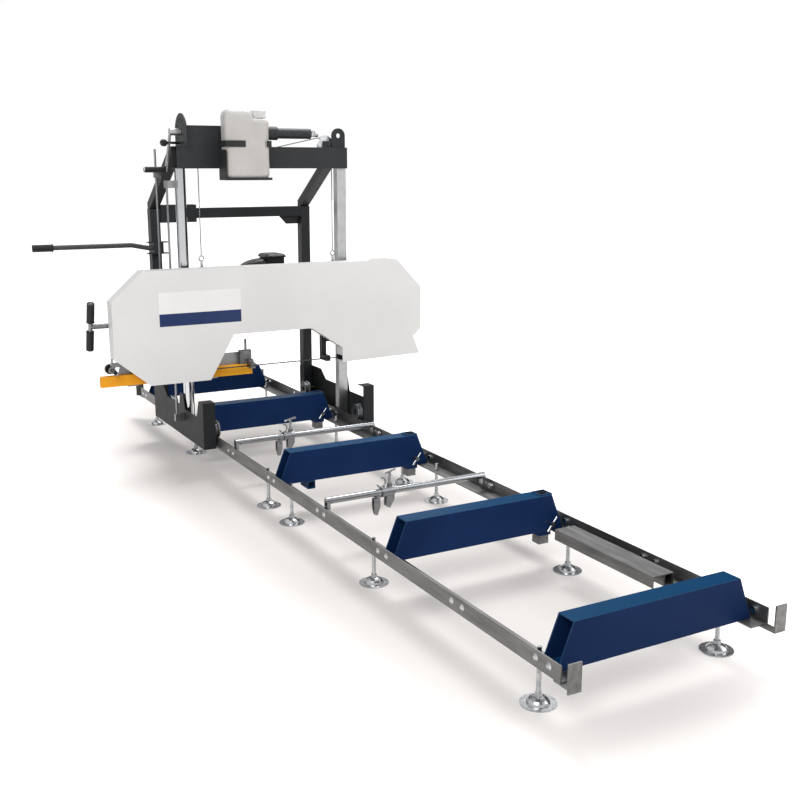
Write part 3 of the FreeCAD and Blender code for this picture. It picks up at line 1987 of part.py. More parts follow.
# Sliding guide: the bar that shields the blade, and the block at its end
guide_bar = box_tube_x(
    guide_bar_left,
    guide_bar_right,
    bar_front,
    bar_front + guide_bar_depth,
    guide_bar_low,
    guide_bar_low + guide_bar_height,
    guide_bar_wall,
)
keep("guide_bar", guide_bar)
bar_top = guide_bar_low + guide_bar_height
block_low = bar_top
left_jaw = guide_jaw(guide_block_right - pad_length, guide_block_right, bar_front)
upper_block = box(
    guide_block_left,
    guide_block_right,
    bar_front,
    bar_front + guide_bar_depth,
    block_low,
    guide_block_top,
)
jaw_link = box(
    guide_block_right - pad_length,
    guide_block_right,
    blade_back + pad_margin,
    bar_front + guide_bar_depth,
    block_low,
    blade_over + pad_gap + pad_height * 2,
)
pad_adjuster = along_z(
    pad_screw,
    guide_block_right - pad_length,
    bar_front + guide_bar_depth / 2,
    guide_block_top,
    pad_screw_top,
)
keep("guide_block", join([left_jaw, upper_block, jaw_link, pad_adjuster]))

# Lock for the guide bar
lock_rod = along_y(lock_shaft, lock_x, lock_front, lock_back, lock_z_low)
lock_wheel = along_y(lock_knob, lock_x, lock_back - lock_knob_length, lock_back, lock_z_low)
keep("guide_lock", join([lock_rod, lock_wheel]))

# Engine: crankcase, finned cylinder, shroud, tank, filter and silencer
case_low = deck_low + deck_sheet
case_back = engine_front + case_length
case = box(engine_x - case_reach, engine_x + case_reach, engine_front, case_back, case_low, case_top)
cover = along_y(case_reach * cover_share, engine_x, engine_front - case_foot, engine_front, engine_z)
cylinder_base = vector(engine_x, engine_front + case_length / 2, engine_z)
lean = math.radians(cylinder_angle)
lean_axis = vector(-math.sin(lean), 0, math.cos(lean))
cylinder = Part.makeCylinder(cylinder_radius, cylinder_length + head_block, cylinder_base, lean_axis)
fins = []
for k in range(fin_count):
    fin_start = cylinder_base.add(
        vector(lean_axis.x, 0, lean_axis.z).multiply(
            cylinder_length * fin_start_share + fin_spacing * k
        )
    )
    fins.append(Part.makeCylinder(fin_radius, fin_thickness, fin_start, lean_axis))
tank_foot_front = engine_front + case_foot
tank_rest = box(
    engine_x - case_reach,
    engine_x - case_reach + tank_foot,
    tank_foot_front,
    tank_foot_front + tank_foot_length,
    case_top,
    tank_low,
)
engine_core = join([case, cover, cylinder, tank_rest] + fins)
silencer_left = engine_x + case_reach + silencer_flange
silencer_front = engine_front + silencer_inset
silencer = box(
    silencer_left,
    silencer_left + silencer_width,
    silencer_front,
    silencer_front + silencer_length,
    case_top - silencer_height,
    case_top,
)
long_edges = [
    e
    for e in silencer.Edges if abs(e.Vertexes[0].Point.y - e.Vertexes[1].Point.y) > silencer_round
]
silencer = silencer.makeFillet(silencer_round, long_edges)
flange = box(
    engine_x + case_reach,
    silencer_left,
    silencer_front + silencer_round,
    silencer_front + silencer_length - silencer_round,
    case_top - silencer_height + silencer_round,
    case_top - silencer_round,
)
keep("engine_block", engine_core, join([silencer, flange]))
shroud_z = engine_z + shroud_rise
shroud_front = case_back
shroud_back = shroud_front + shroud_depth
shroud = along_y(shroud_radius, engine_x, shroud_front, shroud_back, shroud_z)
shroud_cutoff = box(
    engine_x - shroud_radius * 2,
    engine_x + shroud_radius * 2,
    shroud_front - overrun,
    shroud_back + overrun,
    shroud_z - shroud_radius * 2,
    case_low + case_foot,
)
shroud = shroud.cut(shroud_cutoff)
recoil = along_y(
    recoil_radius,
    engine_x,
    shroud_back,
    shroud_back + recoil_depth,
    engine_z + shroud_rise / 2,
)
keep("engine_shroud", join([shroud, recoil]))
tank = box(tank_left, tank_right, engine_front, case_back - tube_wall, tank_low, tank_top)
tank_mid = (tank_left + tank_right) / 2
tank_neck_y = engine_front + case_length / 2
tank_filler = along_z(tank_cap, tank_mid, tank_neck_y, tank_top, tank_top + tank_cap_height)
keep("fuel_tank", join([tank, tank_filler]))
filter_back = filter_front + filter_depth
filter_case = box(
    filter_left,
    filter_right,
    filter_front,
    filter_back,
    filter_low,
    filter_top - filter_lid,
)
filter_cover = box(
    filter_left - filter_overhang,
    filter_right + filter_overhang,
    filter_front - filter_overhang,
    filter_back + filter_overhang,
    filter_top - filter_lid,
    filter_top,
)
elbow_stub = along_z(
    filter_round * 2,
    (filter_left + filter_right) / 2,
    filter_front + filter_depth / 2,
    case_top,
    filter_low,
)
keep("air_filter", join([filter_case, filter_cover, elbow_stub]))

# Engine pulley and drive belt
small_pulley = along_y(pulley_small, engine_x, pulley_front, pulley_back, engine_z)
small_groove = along_y(pulley_small, engine_x, groove_low, groove_low + belt_width, engine_z)
small_groove = small_groove.cut(
    along_y(pulley_small - belt_thickness, engine_x, groove_low, groove_low + belt_width, engine_z)
)
small_shaft = along_y(
    engine_shaft,
    engine_x,
    pulley_back,
    engine_front - case_foot - cable_gap,
    engine_z,
)
keep("engine_pulley", join([small_pulley, small_shaft]).cut(small_groove))
belt_small = pulley_small - belt_thickness + belt_gap
belt_large = pulley_large - belt_thickness + belt_gap
belt_y0 = groove_low + belt_gap
belt_y1 = groove_low + belt_width - belt_gap
belt = loop_solid(
    belt_small + belt_thickness,
    belt_large + belt_thickness,
    engine_x,
    engine_z,
    band_right_x,
    head_z,
    belt_y0,
    belt_y1,
)
belt = belt.cut(
    loop_solid(belt_small, belt_large, engine_x, engine_z, band_right_x, head_z, belt_y0, belt_y1)
)
keep("drive_belt", belt)

# The origin is the middle of the footprint on the ground
os.makedirs("parts", exist_ok=True)
for name, solids in nodes.items():
    shape = solids[0] if len(solids) == 1 else Part.makeCompound(solids)
    placed = shape.translated(vector(-frame_x, -frame_y, 0))
    placed.exportStep("parts/" + name + ".step")
    print(name, len(solids), "valid" if placed.isValid() else "NOT VALID")
print(len(nodes), "nodes")
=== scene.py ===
import bpy
import math
import numpy as np
from mathutils import Matrix


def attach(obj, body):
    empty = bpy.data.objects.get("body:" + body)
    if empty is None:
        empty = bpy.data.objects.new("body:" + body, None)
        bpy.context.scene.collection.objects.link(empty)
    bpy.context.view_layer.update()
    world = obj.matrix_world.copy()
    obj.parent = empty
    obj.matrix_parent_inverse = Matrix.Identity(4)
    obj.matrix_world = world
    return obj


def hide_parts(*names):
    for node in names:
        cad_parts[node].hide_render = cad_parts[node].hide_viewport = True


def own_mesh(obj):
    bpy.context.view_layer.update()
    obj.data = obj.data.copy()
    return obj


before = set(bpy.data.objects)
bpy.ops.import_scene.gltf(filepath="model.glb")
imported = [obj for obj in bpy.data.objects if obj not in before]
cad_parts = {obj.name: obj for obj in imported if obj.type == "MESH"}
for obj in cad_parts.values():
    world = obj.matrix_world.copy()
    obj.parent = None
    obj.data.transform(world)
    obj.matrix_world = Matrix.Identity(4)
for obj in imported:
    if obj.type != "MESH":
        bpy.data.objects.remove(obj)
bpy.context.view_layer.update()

MM = 0.001

# Where the design's zero point, midway between the rails at their near end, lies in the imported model
SHIFT = np.array([0.129, -2.320, 0.0])


def place(x, y, z):
    """A point given in the design's millimetres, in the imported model's metres."""
    return np.array([x, y, z]) * MM + SHIFT


def colour(text):
    """An sRGB hex colour as linear red, green, blue and alpha."""
    parts = [int(text[i:i + 2], 16) / 255 for i in (1, 3, 5)]
    linear = [c / 12.92 if c <= 0.04045 else ((c + 0.055) / 1.055) ** 2.4 for c in parts]
    return (*linear, 1.0)


def add_node(tree, kind, settings=None, sockets=None, links=None):
    """A shader node with its settings, its sockets' fixed values and the outputs that feed it."""
    made = tree.nodes.new(kind)
    for name, value in (settings or {}).items():
        setattr(made, name, value)
    for name, value in (sockets or {}).items():
        made.inputs[name].default_value = value
    for name, source in (links or {}).items():
        tree.links.new(source, made.inputs[name])
    return made


def new_material(name):
    """An empty node material with its output and the object's own coordinates."""
    material = bpy.data.materials.new(name)
    material.use_nodes = True
    tree = material.node_tree
    tree.nodes.clear()
    output = add_node(tree, "ShaderNodeOutputMaterial")
    coords = add_node(tree, "ShaderNodeTexCoord").outputs["Object"]
    return material, tree, output, coords


def two_tone(tree, coords, low, high, size, detail, stops):
    """Cloudy noise of one real size, in metres, ramped from one colour to the other."""
    cloud = add_node(tree, "ShaderNodeTexNoise", sockets={"Scale": 1 / size, "Detail": detail},
                     links={"Vector": coords})
    ramp = add_node(tree, "ShaderNodeValToRGB", links={"Fac": cloud.outputs["Fac"]})
    ramp.color_ramp.elements[0].position = stops[0]
    ramp.color_ramp.elements[1].position = stops[1]
    ramp.color_ramp.elements[0].color = colour(low)
    ramp.color_ramp.elements[1].color = colour(high)
    return ramp.outputs["Color"]


def spread(tree, coords, size, low, high, detail=3.0):
    """Noise of one real size, in metres, stretched over a range of roughness."""
    cloud = add_node(tree, "ShaderNodeTexNoise", sockets={"Scale": 1 / size, "Detail": detail},
                     links={"Vector": coords})
    return add_node(tree, "ShaderNodeMapRange", sockets={"To Min": low, "To Max": high},
                    links={"Value": cloud.outputs["Fac"]}).outputs["Result"]


def relief(tree, coords, size, height, detail=2.0, under=None):
    """Fine relief: noise of one real size and height, both in metres, on the normal under it if one
    is given."""
    cloud = add_node(tree, "ShaderNodeTexNoise", sockets={"Scale": 1 / size, "Detail": detail},
                     links={"Vector": coords})
    links = {"Height": cloud.outputs["Fac"]}
    if under is not None:
        links["Normal"] = under
    return add_node(tree, "ShaderNodeBump", sockets={"Strength": 1.0, "Distance": height},
                    links=links).outputs["Normal"]


# Powder coat, in metres: its tone drifts over one size and its sheen over another. Its orange peel is
# about 1 mm across, drawn 4 mm so that it shows
DRIFT, DRIFT_DETAIL, DRIFT_STOPS = 0.35, 4.0, (0.35, 0.65)
SHEEN = 0.12
PEEL = 0.004

# Where the noise on metals and plastics has its first and its second colour in full
STOPS = (0.3, 0.7)

# A mix node's sockets share their names, so they go by number: the factor, two numbers and two colours,
# and of its outputs the number and the colour
FACTOR, NUMBER_A, NUMBER_B, COLOUR_A, COLOUR_B = 0, 2, 3, 6, 7
NUMBER_OUT, COLOUR_OUT = 0, 2


def powder_coat(name, low, high, rough_low, rough_high, gloss=0.0):
    """Powder coat baked on steel: an even colour, a faint orange peel and a soft sheen that varies a
    little."""
    material, tree, output, coords = new_material(name)
    base = two_tone(tree, coords, low, high, DRIFT, DRIFT_DETAIL, DRIFT_STOPS)
    rough = spread(tree, coords, SHEEN, rough_low, rough_high)
    bump = relief(tree, coords, PEEL, height=0.00006)
    coat = add_node(tree, "ShaderNodeBsdfPrincipled",
                    sockets={"Specular IOR Level": 0.2, "Metallic": 0.0, "Coat Weight": gloss,
                             "Coat Roughness": 0.15},
                    links={"Base Color": base, "Roughness": rough, "Normal": bump})
    tree.links.new(coat.outputs["BSDF"], output.inputs["Surface"])
    return material


def bunk_coat(name, low, high, top, edge_wear_and_highlight, rough_low, rough_high):
    """Powder coat on folded channel: level faces take a greener, paler tone than the walls, which is
    painted light from above, and the folds are rounded and thinly covered, in a paler tone still, which
    is part edge wear and part painted highlight."""
    material, tree, output, coords = new_material(name)
    wall = two_tone(tree, coords, low, high, DRIFT, DRIFT_DETAIL, DRIFT_STOPS)
    # painted light: faces that look up take the paler, greener top colour in place of the walls'
    facing = add_node(tree, "ShaderNodeTexCoord").outputs["Normal"]
    upward = add_node(tree, "ShaderNodeSeparateXYZ", links={"Vector": facing}).outputs["Z"]
    level = add_node(tree, "ShaderNodeMapRange", sockets={"From Min": 0.2, "From Max": 0.95},
                     links={"Value": upward}).outputs["Result"]
    walls_with_painted_lit_tops = add_node(tree, "ShaderNodeMix", {"data_type": "RGBA"}, {COLOUR_B: colour(top)},
                     {FACTOR: level, COLOUR_A: wall})
    # the fold's radius is 4 mm: near an edge the rounded normal leaves the face's own
    rounded = add_node(tree, "ShaderNodeBevel", {"samples": 4}, {"Radius": 0.004}).outputs["Normal"]
    own = add_node(tree, "ShaderNodeNewGeometry").outputs["True Normal"]
    same = add_node(tree, "ShaderNodeVectorMath", {"operation": "DOT_PRODUCT"}, None,
                    {0: rounded, 1: own})
    # part edge wear, part painted highlight: the paler edge colour is mixed in where the rounded normal
    # leaves the face's own
    edge_wear_and_highlight_mask = add_node(tree, "ShaderNodeMapRange",
                    sockets={"From Min": 0.99, "From Max": 0.8, "To Max": 0.6},
                    links={"Value": same.outputs["Value"]}).outputs["Result"]
    base = add_node(tree, "ShaderNodeMix", {"data_type": "RGBA"}, {COLOUR_B: colour(edge_wear_and_highlight)},
                    {FACTOR: edge_wear_and_highlight_mask, COLOUR_A: walls_with_painted_lit_tops.outputs[COLOUR_OUT]})
    rough = spread(tree, coords, SHEEN, rough_low, rough_high)
    bump = relief(tree, coords, PEEL, height=0.00005, under=rounded)
    coat = add_node(tree, "ShaderNodeBsdfPrincipled",
                    sockets={"Specular IOR Level": 0.05, "Metallic": 0.0},
                    links={"Base Color": base.outputs[COLOUR_OUT], "Roughness": rough, "Normal": bump})
    tree.links.new(coat.outputs["BSDF"], output.inputs["Surface"])
    return material


def plated_steel(name, low, high, rough_low, rough_high, stretch, grain, height=0.00002):
    """Plated, ground or cast metal: a cloudy tone over 6 grains, a sheen over 3 and a relief of 1, with
    the grain in metres. A stretch below 1 draws all three out into streaks along its axis."""
    material, tree, output, coords = new_material(name)
    drawn = add_node(tree, "ShaderNodeMapping", sockets={"Scale": stretch},
                     links={"Vector": coords}).outputs["Vector"]
    base = two_tone(tree, drawn, low, high, size=grain * 6, detail=5.0, stops=STOPS)
    rough = spread(tree, drawn, grain * 3, rough_low, rough_high, detail=6.0)
    bump = relief(tree, drawn, grain, height, detail=4.0)
    metal = add_node(tree, "ShaderNodeBsdfPrincipled", sockets={"Metallic": 1.0},
                     links={"Base Color": base, "Roughness": rough, "Normal": bump})
    tree.links.new(metal.outputs["BSDF"], output.inputs["Surface"])
    return material


def two_finishes(name, limit, low, high, metal, rough, grain, height):
    """One piece with two finishes, on the low and the high side of a plane at one X, the limit, in the
    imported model's metres. low and high each hold two hex colours, and metal and rough hold one number
    for each side. Tone, sheen and relief have sizes of 8, 5 and 1 grains."""
    material, tree, output, coords = new_material(name)
    along = add_node(tree, "ShaderNodeSeparateXYZ", links={"Vector": coords}).outputs["X"]
    past = add_node(tree, "ShaderNodeMath", {"operation": "GREATER_THAN"}, {1: limit},
                    {0: along}).outputs["Value"]
    tones = [two_tone(tree, coords, *pair, size=grain * 8, detail=4.0, stops=STOPS)
             for pair in (low, high)]
    base = add_node(tree, "ShaderNodeMix", {"data_type": "RGBA"}, None,
                    {FACTOR: past, COLOUR_A: tones[0], COLOUR_B: tones[1]})
    metallic = add_node(tree, "ShaderNodeMapRange", sockets={"To Min": metal[0], "To Max": metal[1]},
                        links={"Value": past})
    dull = [spread(tree, coords, grain * 5, r * 0.85, r * 1.15) for r in rough]
    roughness = add_node(tree, "ShaderNodeMix", {"data_type": "FLOAT"}, None,
                         {FACTOR: past, NUMBER_A: dull[0], NUMBER_B: dull[1]})
    bump = relief(tree, coords, grain, height)
    skin = add_node(tree, "ShaderNodeBsdfPrincipled", sockets={"Specular IOR Level": 0.2},
                    links={"Base Color": base.outputs[COLOUR_OUT],
                           "Metallic": metallic.outputs["Result"],
                           "Roughness": roughness.outputs[NUMBER_OUT], "Normal": bump})
    tree.links.new(skin.outputs["BSDF"], output.inputs["Surface"])
    return material


def wire_rope(name, low, high, lay):
    """Galvanised wire rope: slanting bands in place of its strands. They repeat about every two lays,
    in metres, coarser than the real ones, which are too fine to show."""
    material, tree, output, coords = new_material(name)
    bands = add_node(tree, "ShaderNodeTexWave", {"bands_direction": "DIAGONAL"},
                     {"Scale": 0.3 / lay, "Distortion": 0.4}, {"Vector": coords}).outputs["Fac"]
    ramp = add_node(tree, "ShaderNodeValToRGB", links={"Fac": bands})
    ramp.color_ramp.elements[0].color = colour(low)
    ramp.color_ramp.elements[1].color = colour(high)
    bump = add_node(tree, "ShaderNodeBump", sockets={"Strength": 1.0, "Distance": 0.0005},
                    links={"Height": bands})
    rough = spread(tree, coords, size=0.02, low=0.35, high=0.5)
    strands = add_node(tree, "ShaderNodeBsdfPrincipled", sockets={"Metallic": 1.0},
                       links={"Base Color": ramp.outputs["Color"], "Roughness": rough,
                              "Normal": bump.outputs["Normal"]})
    tree.links.new(strands.outputs["BSDF"], output.inputs["Surface"])
    return material


def moulded_plastic(name, low, high, rough, grain, height, sss=0.0):
    """Injection or blow moulded polymer: a fine mould texture and a dull, broad highlight. Milky ones
    let light in under their skin."""
    material, tree, output, coords = new_material(name)
    base = two_tone(tree, coords, low, high, size=0.12, detail=2.0, stops=STOPS)
    bump = relief(tree, coords, grain, height)
    roughness = spread(tree, coords, size=0.05, low=rough * 0.9, high=rough * 1.1)
    skin = add_node(tree, "ShaderNodeBsdfPrincipled",
                    sockets={"Specular IOR Level": 0.3, "Subsurface Weight": sss,
                             "Subsurface Scale": 0.03, "Subsurface Radius": (1.0, 1.0, 1.0)},
                    links={"Base Color": base, "Roughness": roughness, "Normal": bump})
    tree.links.new(skin.outputs["BSDF"], output.inputs["Surface"])
    return material


# Finishes have two sRGB colours, then the lowest and highest roughness, or one roughness in the middle.
# Powder coat: dark frames that hardly shine, a pale guard, deep blue bunks and a bright orange bar
anthracite_coat = powder_coat("anthracite_powder_coat", "#292B2D", "#323436", 0.42, 0.55)
# the base frames take a darker copy of the anthracite coat, as painted shade
painted_shade_base_coat = powder_coat("painted_shade_anthracite_powder_coat", "#1B1D1F", "#232527", 0.5, 0.62)
light_coat = powder_coat("light_grey_powder_coat", "#E8E8E7", "#EDEDEC", 0.35, 0.45)
# the bunks' top colour is painted light from above, and their edge colour part wear, part painted
# highlight
blue_coat = bunk_coat("blue_powder_coat", "#122950", "#162E58", top="#023C63", edge_wear_and_highlight="#4A7298",
                      rough_low=0.34, rough_high=0.46)
orange_coat = powder_coat("orange_powder_coat", "#FFAC20", "#FFB72C", 0.35, 0.45, gloss=0.2)

# Zinc plate: cloudy and dull on the rails, brighter and smoother on fittings, bars and castings
even = (1, 1, 1)
rail_zinc = plated_steel("zinc_plated_rail_steel", "#646464", "#828281", 0.4, 0.56,
                         stretch=(1, 0.12, 1), grain=0.004, height=0.00004)
fitting_zinc = plated_steel("bright_zinc_fittings", "#A3A5A8", "#C6C8C9", 0.2, 0.32,
                            stretch=even, grain=0.004, height=0.00001)
arm_zinc = plated_steel("drawn_zinc_plated_bar", "#A3A4A6", "#C6C7C8", 0.3, 0.45,
                        stretch=(1, 1, 0.3), grain=0.004)
clamp_zinc = plated_steel("zinc_plated_clamp_castings", "#7A7C7F", "#989A9C", 0.25, 0.4,
                          stretch=even, grain=0.004)
pulley_zinc = plated_steel("bright_zinc_pulley", "#AEB0B2", "#C9CBCC", 0.3, 0.42,
                           stretch=even, grain=0.004)

# Two finishes on one piece: a mirror-like left column and a dull right one, a bright thread on the coated
# drum, a grey tube behind the handle's rubber end, and a bright and a coated guide
column_steel = two_finishes("chromed_and_galvanised_columns", limit=0.129,
                            low=("#B4B6B8", "#BABCBE"), high=("#9FA0A1", "#ADAEAE"),
                            metal=(1.0, 1.0), rough=(0.12, 0.4), grain=0.006, height=0.000004)
drum_steel = two_finishes("coated_drum_with_bright_thread", limit=0.429,
                          low=("#2E3033", "#383A3C"), high=("#A9ABAD", "#D5D6D7"),
                          metal=(0.0, 1.0), rough=(0.45, 0.25), grain=0.003, height=0.00004)
handle_steel = two_finishes("coated_tube_with_rubber_end", limit=-0.974,
                            low=("#141517", "#1A1B1D"), high=("#48494B", "#525355"),
                            metal=(0.0, 0.0), rough=(0.6, 0.4), grain=0.003, height=0.00006)
guide_steel = two_finishes("zinc_plated_and_coated_guides", limit=0.2,
                           low=("#8F9092", "#9B9C9E"), high=("#1E2022", "#292B2D"),
                           metal=(1.0, 0.0), rough=(0.4, 0.5), grain=0.004, height=0.00003)

# Chromed, bare and cast metal and wire rope: long streaks on bars and the band, an even grain on castings
crossbar_chrome = plated_steel("hard_chromed_bar", "#86888B", "#9EA0A3", 0.14, 0.22,
                               stretch=(0.2, 1, 1), grain=0.01, height=0.00001)
blade_steel = plated_steel("ground_spring_steel", "#77797C", "#9FA1A4", 0.22, 0.34,
                           stretch=(0.1, 1, 1), grain=0.003)
band_steel = plated_steel("blued_band_steel", "#2E3033", "#45474A", 0.36, 0.5,
                          stretch=(0.1, 1, 1), grain=0.003)
rod_steel = plated_steel("drawn_rod_steel", "#6F7072", "#8C8D8F", 0.3, 0.42,
                         stretch=(1, 1, 0.1), grain=0.003)
rope_wire = wire_rope("galvanised_wire_rope", "#4C4D4F", "#9B9C9E", lay=0.008)
wheel_iron = plated_steel("turned_cast_iron", "#646668", "#727476", 0.35, 0.55,
                          stretch=even, grain=0.004)
engine_alloy = plated_steel("die_cast_aluminium", "#8C8D8E", "#B1B2B3", 0.4, 0.6,
                            stretch=even, grain=0.003)

# Rubber, plastic and film: black and dull, milky on the canister and its cap, flat and even on the label
grip_rubber = moulded_plastic("moulded_grip_rubber", "#111214", "#191A1C", 0.55,
                              grain=0.002, height=0.0001)
black_plastic = moulded_plastic("black_moulded_plastic", "#101112", "#18191A", 0.4,
                                grain=0.001, height=0.00004)
canister_polymer = moulded_plastic("natural_blown_polyethylene", "#C6C4C2", "#CFCDCB", 0.24,
                                   grain=0.006, height=0.00002, sss=0.2)
cap_polymer = moulded_plastic("natural_moulded_polyethylene", "#CFCECD", "#D9D8D7", 0.38,
                              grain=0.003, height=0.00004, sss=0.2)
label_film = moulded_plastic("white_label_film", "#F4F4F3", "#F9F9F8", 0.3, grain=0.01, height=0.00001)
band_film = moulded_plastic("blue_label_film", "#182C5A", "#1C3162", 0.3, grain=0.01, height=0.00001)
belt_rubber = moulded_plastic("belt_rubber", "#1A1A1A", "#232323", 0.7, grain=0.002, height=0.0001)

finishes = {
    "rails": rail_zinc, "rail_bolts": fitting_zinc, "log_bunks": blue_coat,
    "crossbars": crossbar_chrome, "levelling_feet": fitting_zinc, "end_stops": rail_zinc,
    "stored_bars": rail_zinc, "base_frames": painted_shade_base_coat, "guide_columns": column_steel,
    "rear_frame": anthracite_coat, "top_beam": anthracite_coat, "winch_housing": anthracite_coat,
    "cable_run": rope_wire, "canister": canister_polymer, "canister_cap": cap_polymer,
    "canister_tray": anthracite_coat, "push_handle": handle_steel, "handle_clamp": anthracite_coat,
    "upright_rods": rod_steel, "guard_cover": light_coat, "head_frame": anthracite_coat,
    "saw_blade": band_steel, "guide_plate": guide_steel, "engine_block": engine_alloy,
    "engine_shroud": black_plastic, "fuel_tank": anthracite_coat, "air_filter": black_plastic,
    "drive_belt": belt_rubber, "cable_shackles": fitting_zinc, "lift_cables": rope_wire,
    "winch_drum": drum_steel, "crank": arm_zinc, "crank_grip": grip_rubber,
    "winch_lock": black_plastic, "cable_pulley": pulley_zinc, "band_wheel_left": wheel_iron,
    "band_wheel_right": wheel_iron, "drive_shaft": wheel_iron, "engine_pulley": wheel_iron,
    "tension_slider": blade_steel, "tension_handle": rod_steel, "guide_bar": orange_coat,
    "guide_block": rail_zinc, "guide_lock": black_plastic,
}
# What stands more than once goes by how its name starts, and the first start that fits counts
# the log posts take the darker rail zinc, as painted shade on them
kinds = {"wheel_": wheel_iron, "log_post": rail_zinc, "post_screw": fitting_zinc,
         "clamp_screw": fitting_zinc, "clamp_": clamp_zinc}
for name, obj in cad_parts.items():
    match = finishes.get(name) or next(m for start, m in kinds.items() if name.startswith(start))
    obj.data.materials.clear()
    obj.data.materials.append(match)


def surface(name, grids, material, body, close_ends=False, smooth=True):
    """A mesh from grids of points, rows by columns: each row is a closed ring, joined to the next with
    quads. With close_ends the first and the last ring of a grid get one flat face each."""
    points, faces, start = [], [], 0
    for rows in grids:
        rows = np.asarray(rows, dtype=float)
        count, around = rows.shape[:2]
        index = np.arange(count * around).reshape(count, around) + start
        right = np.roll(index, -1, axis=1)
        quads = np.stack([index[:-1], right[:-1], right[1:], index[1:]], axis=-1)
        faces += quads.reshape(-1, 4).tolist()
        if close_ends:
            faces += [index[0][::-1].tolist(), index[-1].tolist()]
        points.append(rows.reshape(-1, 3))
        start += count * around
    mesh = bpy.data.meshes.new(name)
    mesh.from_pydata(np.concatenate(points).tolist(), [], faces)
    mesh.polygons.foreach_set("use_smooth", [smooth] * len(mesh.polygons))
    mesh.update()
    made = bpy.data.objects.new(name, mesh)
    bpy.context.scene.collection.objects.link(made)
    mesh.materials.append(material)
    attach(made, body)
    return made


def turned(start, toward, steps, radii, around=48):
    """Rings of a profile turned round the line from start to toward: ring i has its middle steps[i] from
    the start and its radius is radii[i], or one radius for each angle. Lengths are in millimetres."""
    start, toward = np.asarray(start, dtype=float), np.asarray(toward, dtype=float)
    axis = (toward - start) / np.linalg.norm(toward - start)
    # the rings' first direction is square to the line and to Y, or to X where the line runs along Y
    aside = (0.0, 1.0, 0.0) if abs(axis[1]) < 0.9 else (1.0, 0.0, 0.0)
    side = np.cross(axis, aside)
    side /= np.linalg.norm(side)
    lift = np.cross(axis, side)
    angle = np.linspace(0, 2 * math.pi, around, endpoint=False)
    ring = np.cos(angle)[:, None] * side + np.sin(angle)[:, None] * lift
    radii = np.asarray(radii, dtype=float)
    if radii.ndim == 1:
        radii = np.repeat(radii[:, None], around, axis=1)
    middle = start + np.asarray(steps, dtype=float)[:, None] * axis
    return (middle[:, None, :] + radii[:, :, None] * ring[None, :, :]) * MM + SHIFT


def film(name, x0, x1, z0, z1, y_face, thickness, material, body, slot):
    """A thin flat film on a face that looks along -Y: its outline stands off the face by its
    thickness."""
    corners = np.array([(x0, z0), (x1, z0), (x1, z1), (x0, z1)])
    rows = [[place(x, y, z) for x, z in corners] for y in (y_face, y_face - thickness)]
    return surface(name, [rows], material, body, close_ends=True, smooth=False)


# The guard's label, left bare: a white plate, with a blue band over its lower part
label_sides, label_low, label_high, band_high = (-692, -220), 838, 1025, 907
guard_face, plate_thickness, band_thickness = 3280, 0.6, 0.4
film("label_plate", *label_sides, label_low, label_high, guard_face, plate_thickness, label_film,
     "head", "guard_paint")
film("label_band", *label_sides, label_low, band_high, guard_face - plate_thickness, band_thickness,
     band_film, "head", "bunk_paint")


def ribbed_grip(start, toward, length, radius, bore, groove=0.55, pitch=6.0, collar=3.0):
    """A moulded grip: radius minus groove x cos(pi s / pitch) to the 8th along its length s, with a
    collar at its first end and an end rounded as a quarter circle that comes in to the bore."""
    margin = 5.0
    s = np.linspace(margin, length - margin, int(length / pitch * 10))
    body = radius - groove * np.cos(math.pi * s / pitch) ** 8
    turn = np.linspace(0, math.pi / 2, 8)
    flange_steps = [0.0, 0.0, 1.0, 4.0, margin]
    flange = [bore, radius + collar - 0.8, radius + collar, radius + collar - 0.6, radius]
    steps = np.concatenate([flange_steps, s, length - margin + margin * np.sin(turn), [length]])
    radii = np.concatenate([flange, body, radius - margin * (1 - np.cos(turn)), [bore]])
    return turned(start, toward, steps, radii)


# Rubber grips: the push handle's, the crank's, and the two on the ends of the tension handle's bar
surface("push_grip",
        [ribbed_grip((-1103, 3936, 1237), (-1215, 3936, 1237), length=111.8, radius=20.8, bore=17)],
        grip_rubber, "carriage")
surface("crank_sleeve",
        [ribbed_grip((-544, 3558, 1678), (-655, 3558, 1678), length=111.4, radius=15.7, bore=6.5,
                     collar=0.4)],
        grip_rubber, "crank_handle")
bar_tilt = math.radians(18)
bar = np.array([0.0, -math.sin(bar_tilt), math.cos(bar_tilt)])
bar_middle, grip_from, grip_to = np.array([-1042, 3387.5, 850]), 27, 140
surface("tension_grips",
        [ribbed_grip(bar_middle + bar * grip_from * side, bar_middle + bar * grip_to * side,
                     length=114, radius=20.8, bore=9, collar=1.5) for side in (1, -1)],
        grip_rubber, "tension_screw")


def foot_thread(x, y, low, high, pitch=2.5, crest=8.6, root=8.05):
    """A screw thread: the radius runs up and down between root and crest as the height over the pitch
    plus the angle over a full turn goes round."""
    around = 12
    steps = np.arange(low, high, pitch / 6)
    turn = np.linspace(0, 1, around, endpoint=False)
    phase = (steps[:, None] / pitch + turn[None, :]) % 1.0
    radii = root + (crest - root) * (1 - np.abs(2 * phase - 1))
    return turned((x, y, 0), (x, y, 100), steps, radii, around=around)


# Twelve levelling feet, six under each rail, each side with its own places along the track
foot_x = 398
left_feet = (176, 1327, 2190, 2487, 3647, 4464)
right_feet = (176, 1044, 2144, 2506, 3341, 4482)
foot_places = [(-foot_x, y) for y in left_feet] + [(foot_x, y) for y in right_feet]
surface("foot_threads", [foot_thread(x, y, low=40.5, high=149.5) for x, y in foot_places],
        fitting_zinc, "track")


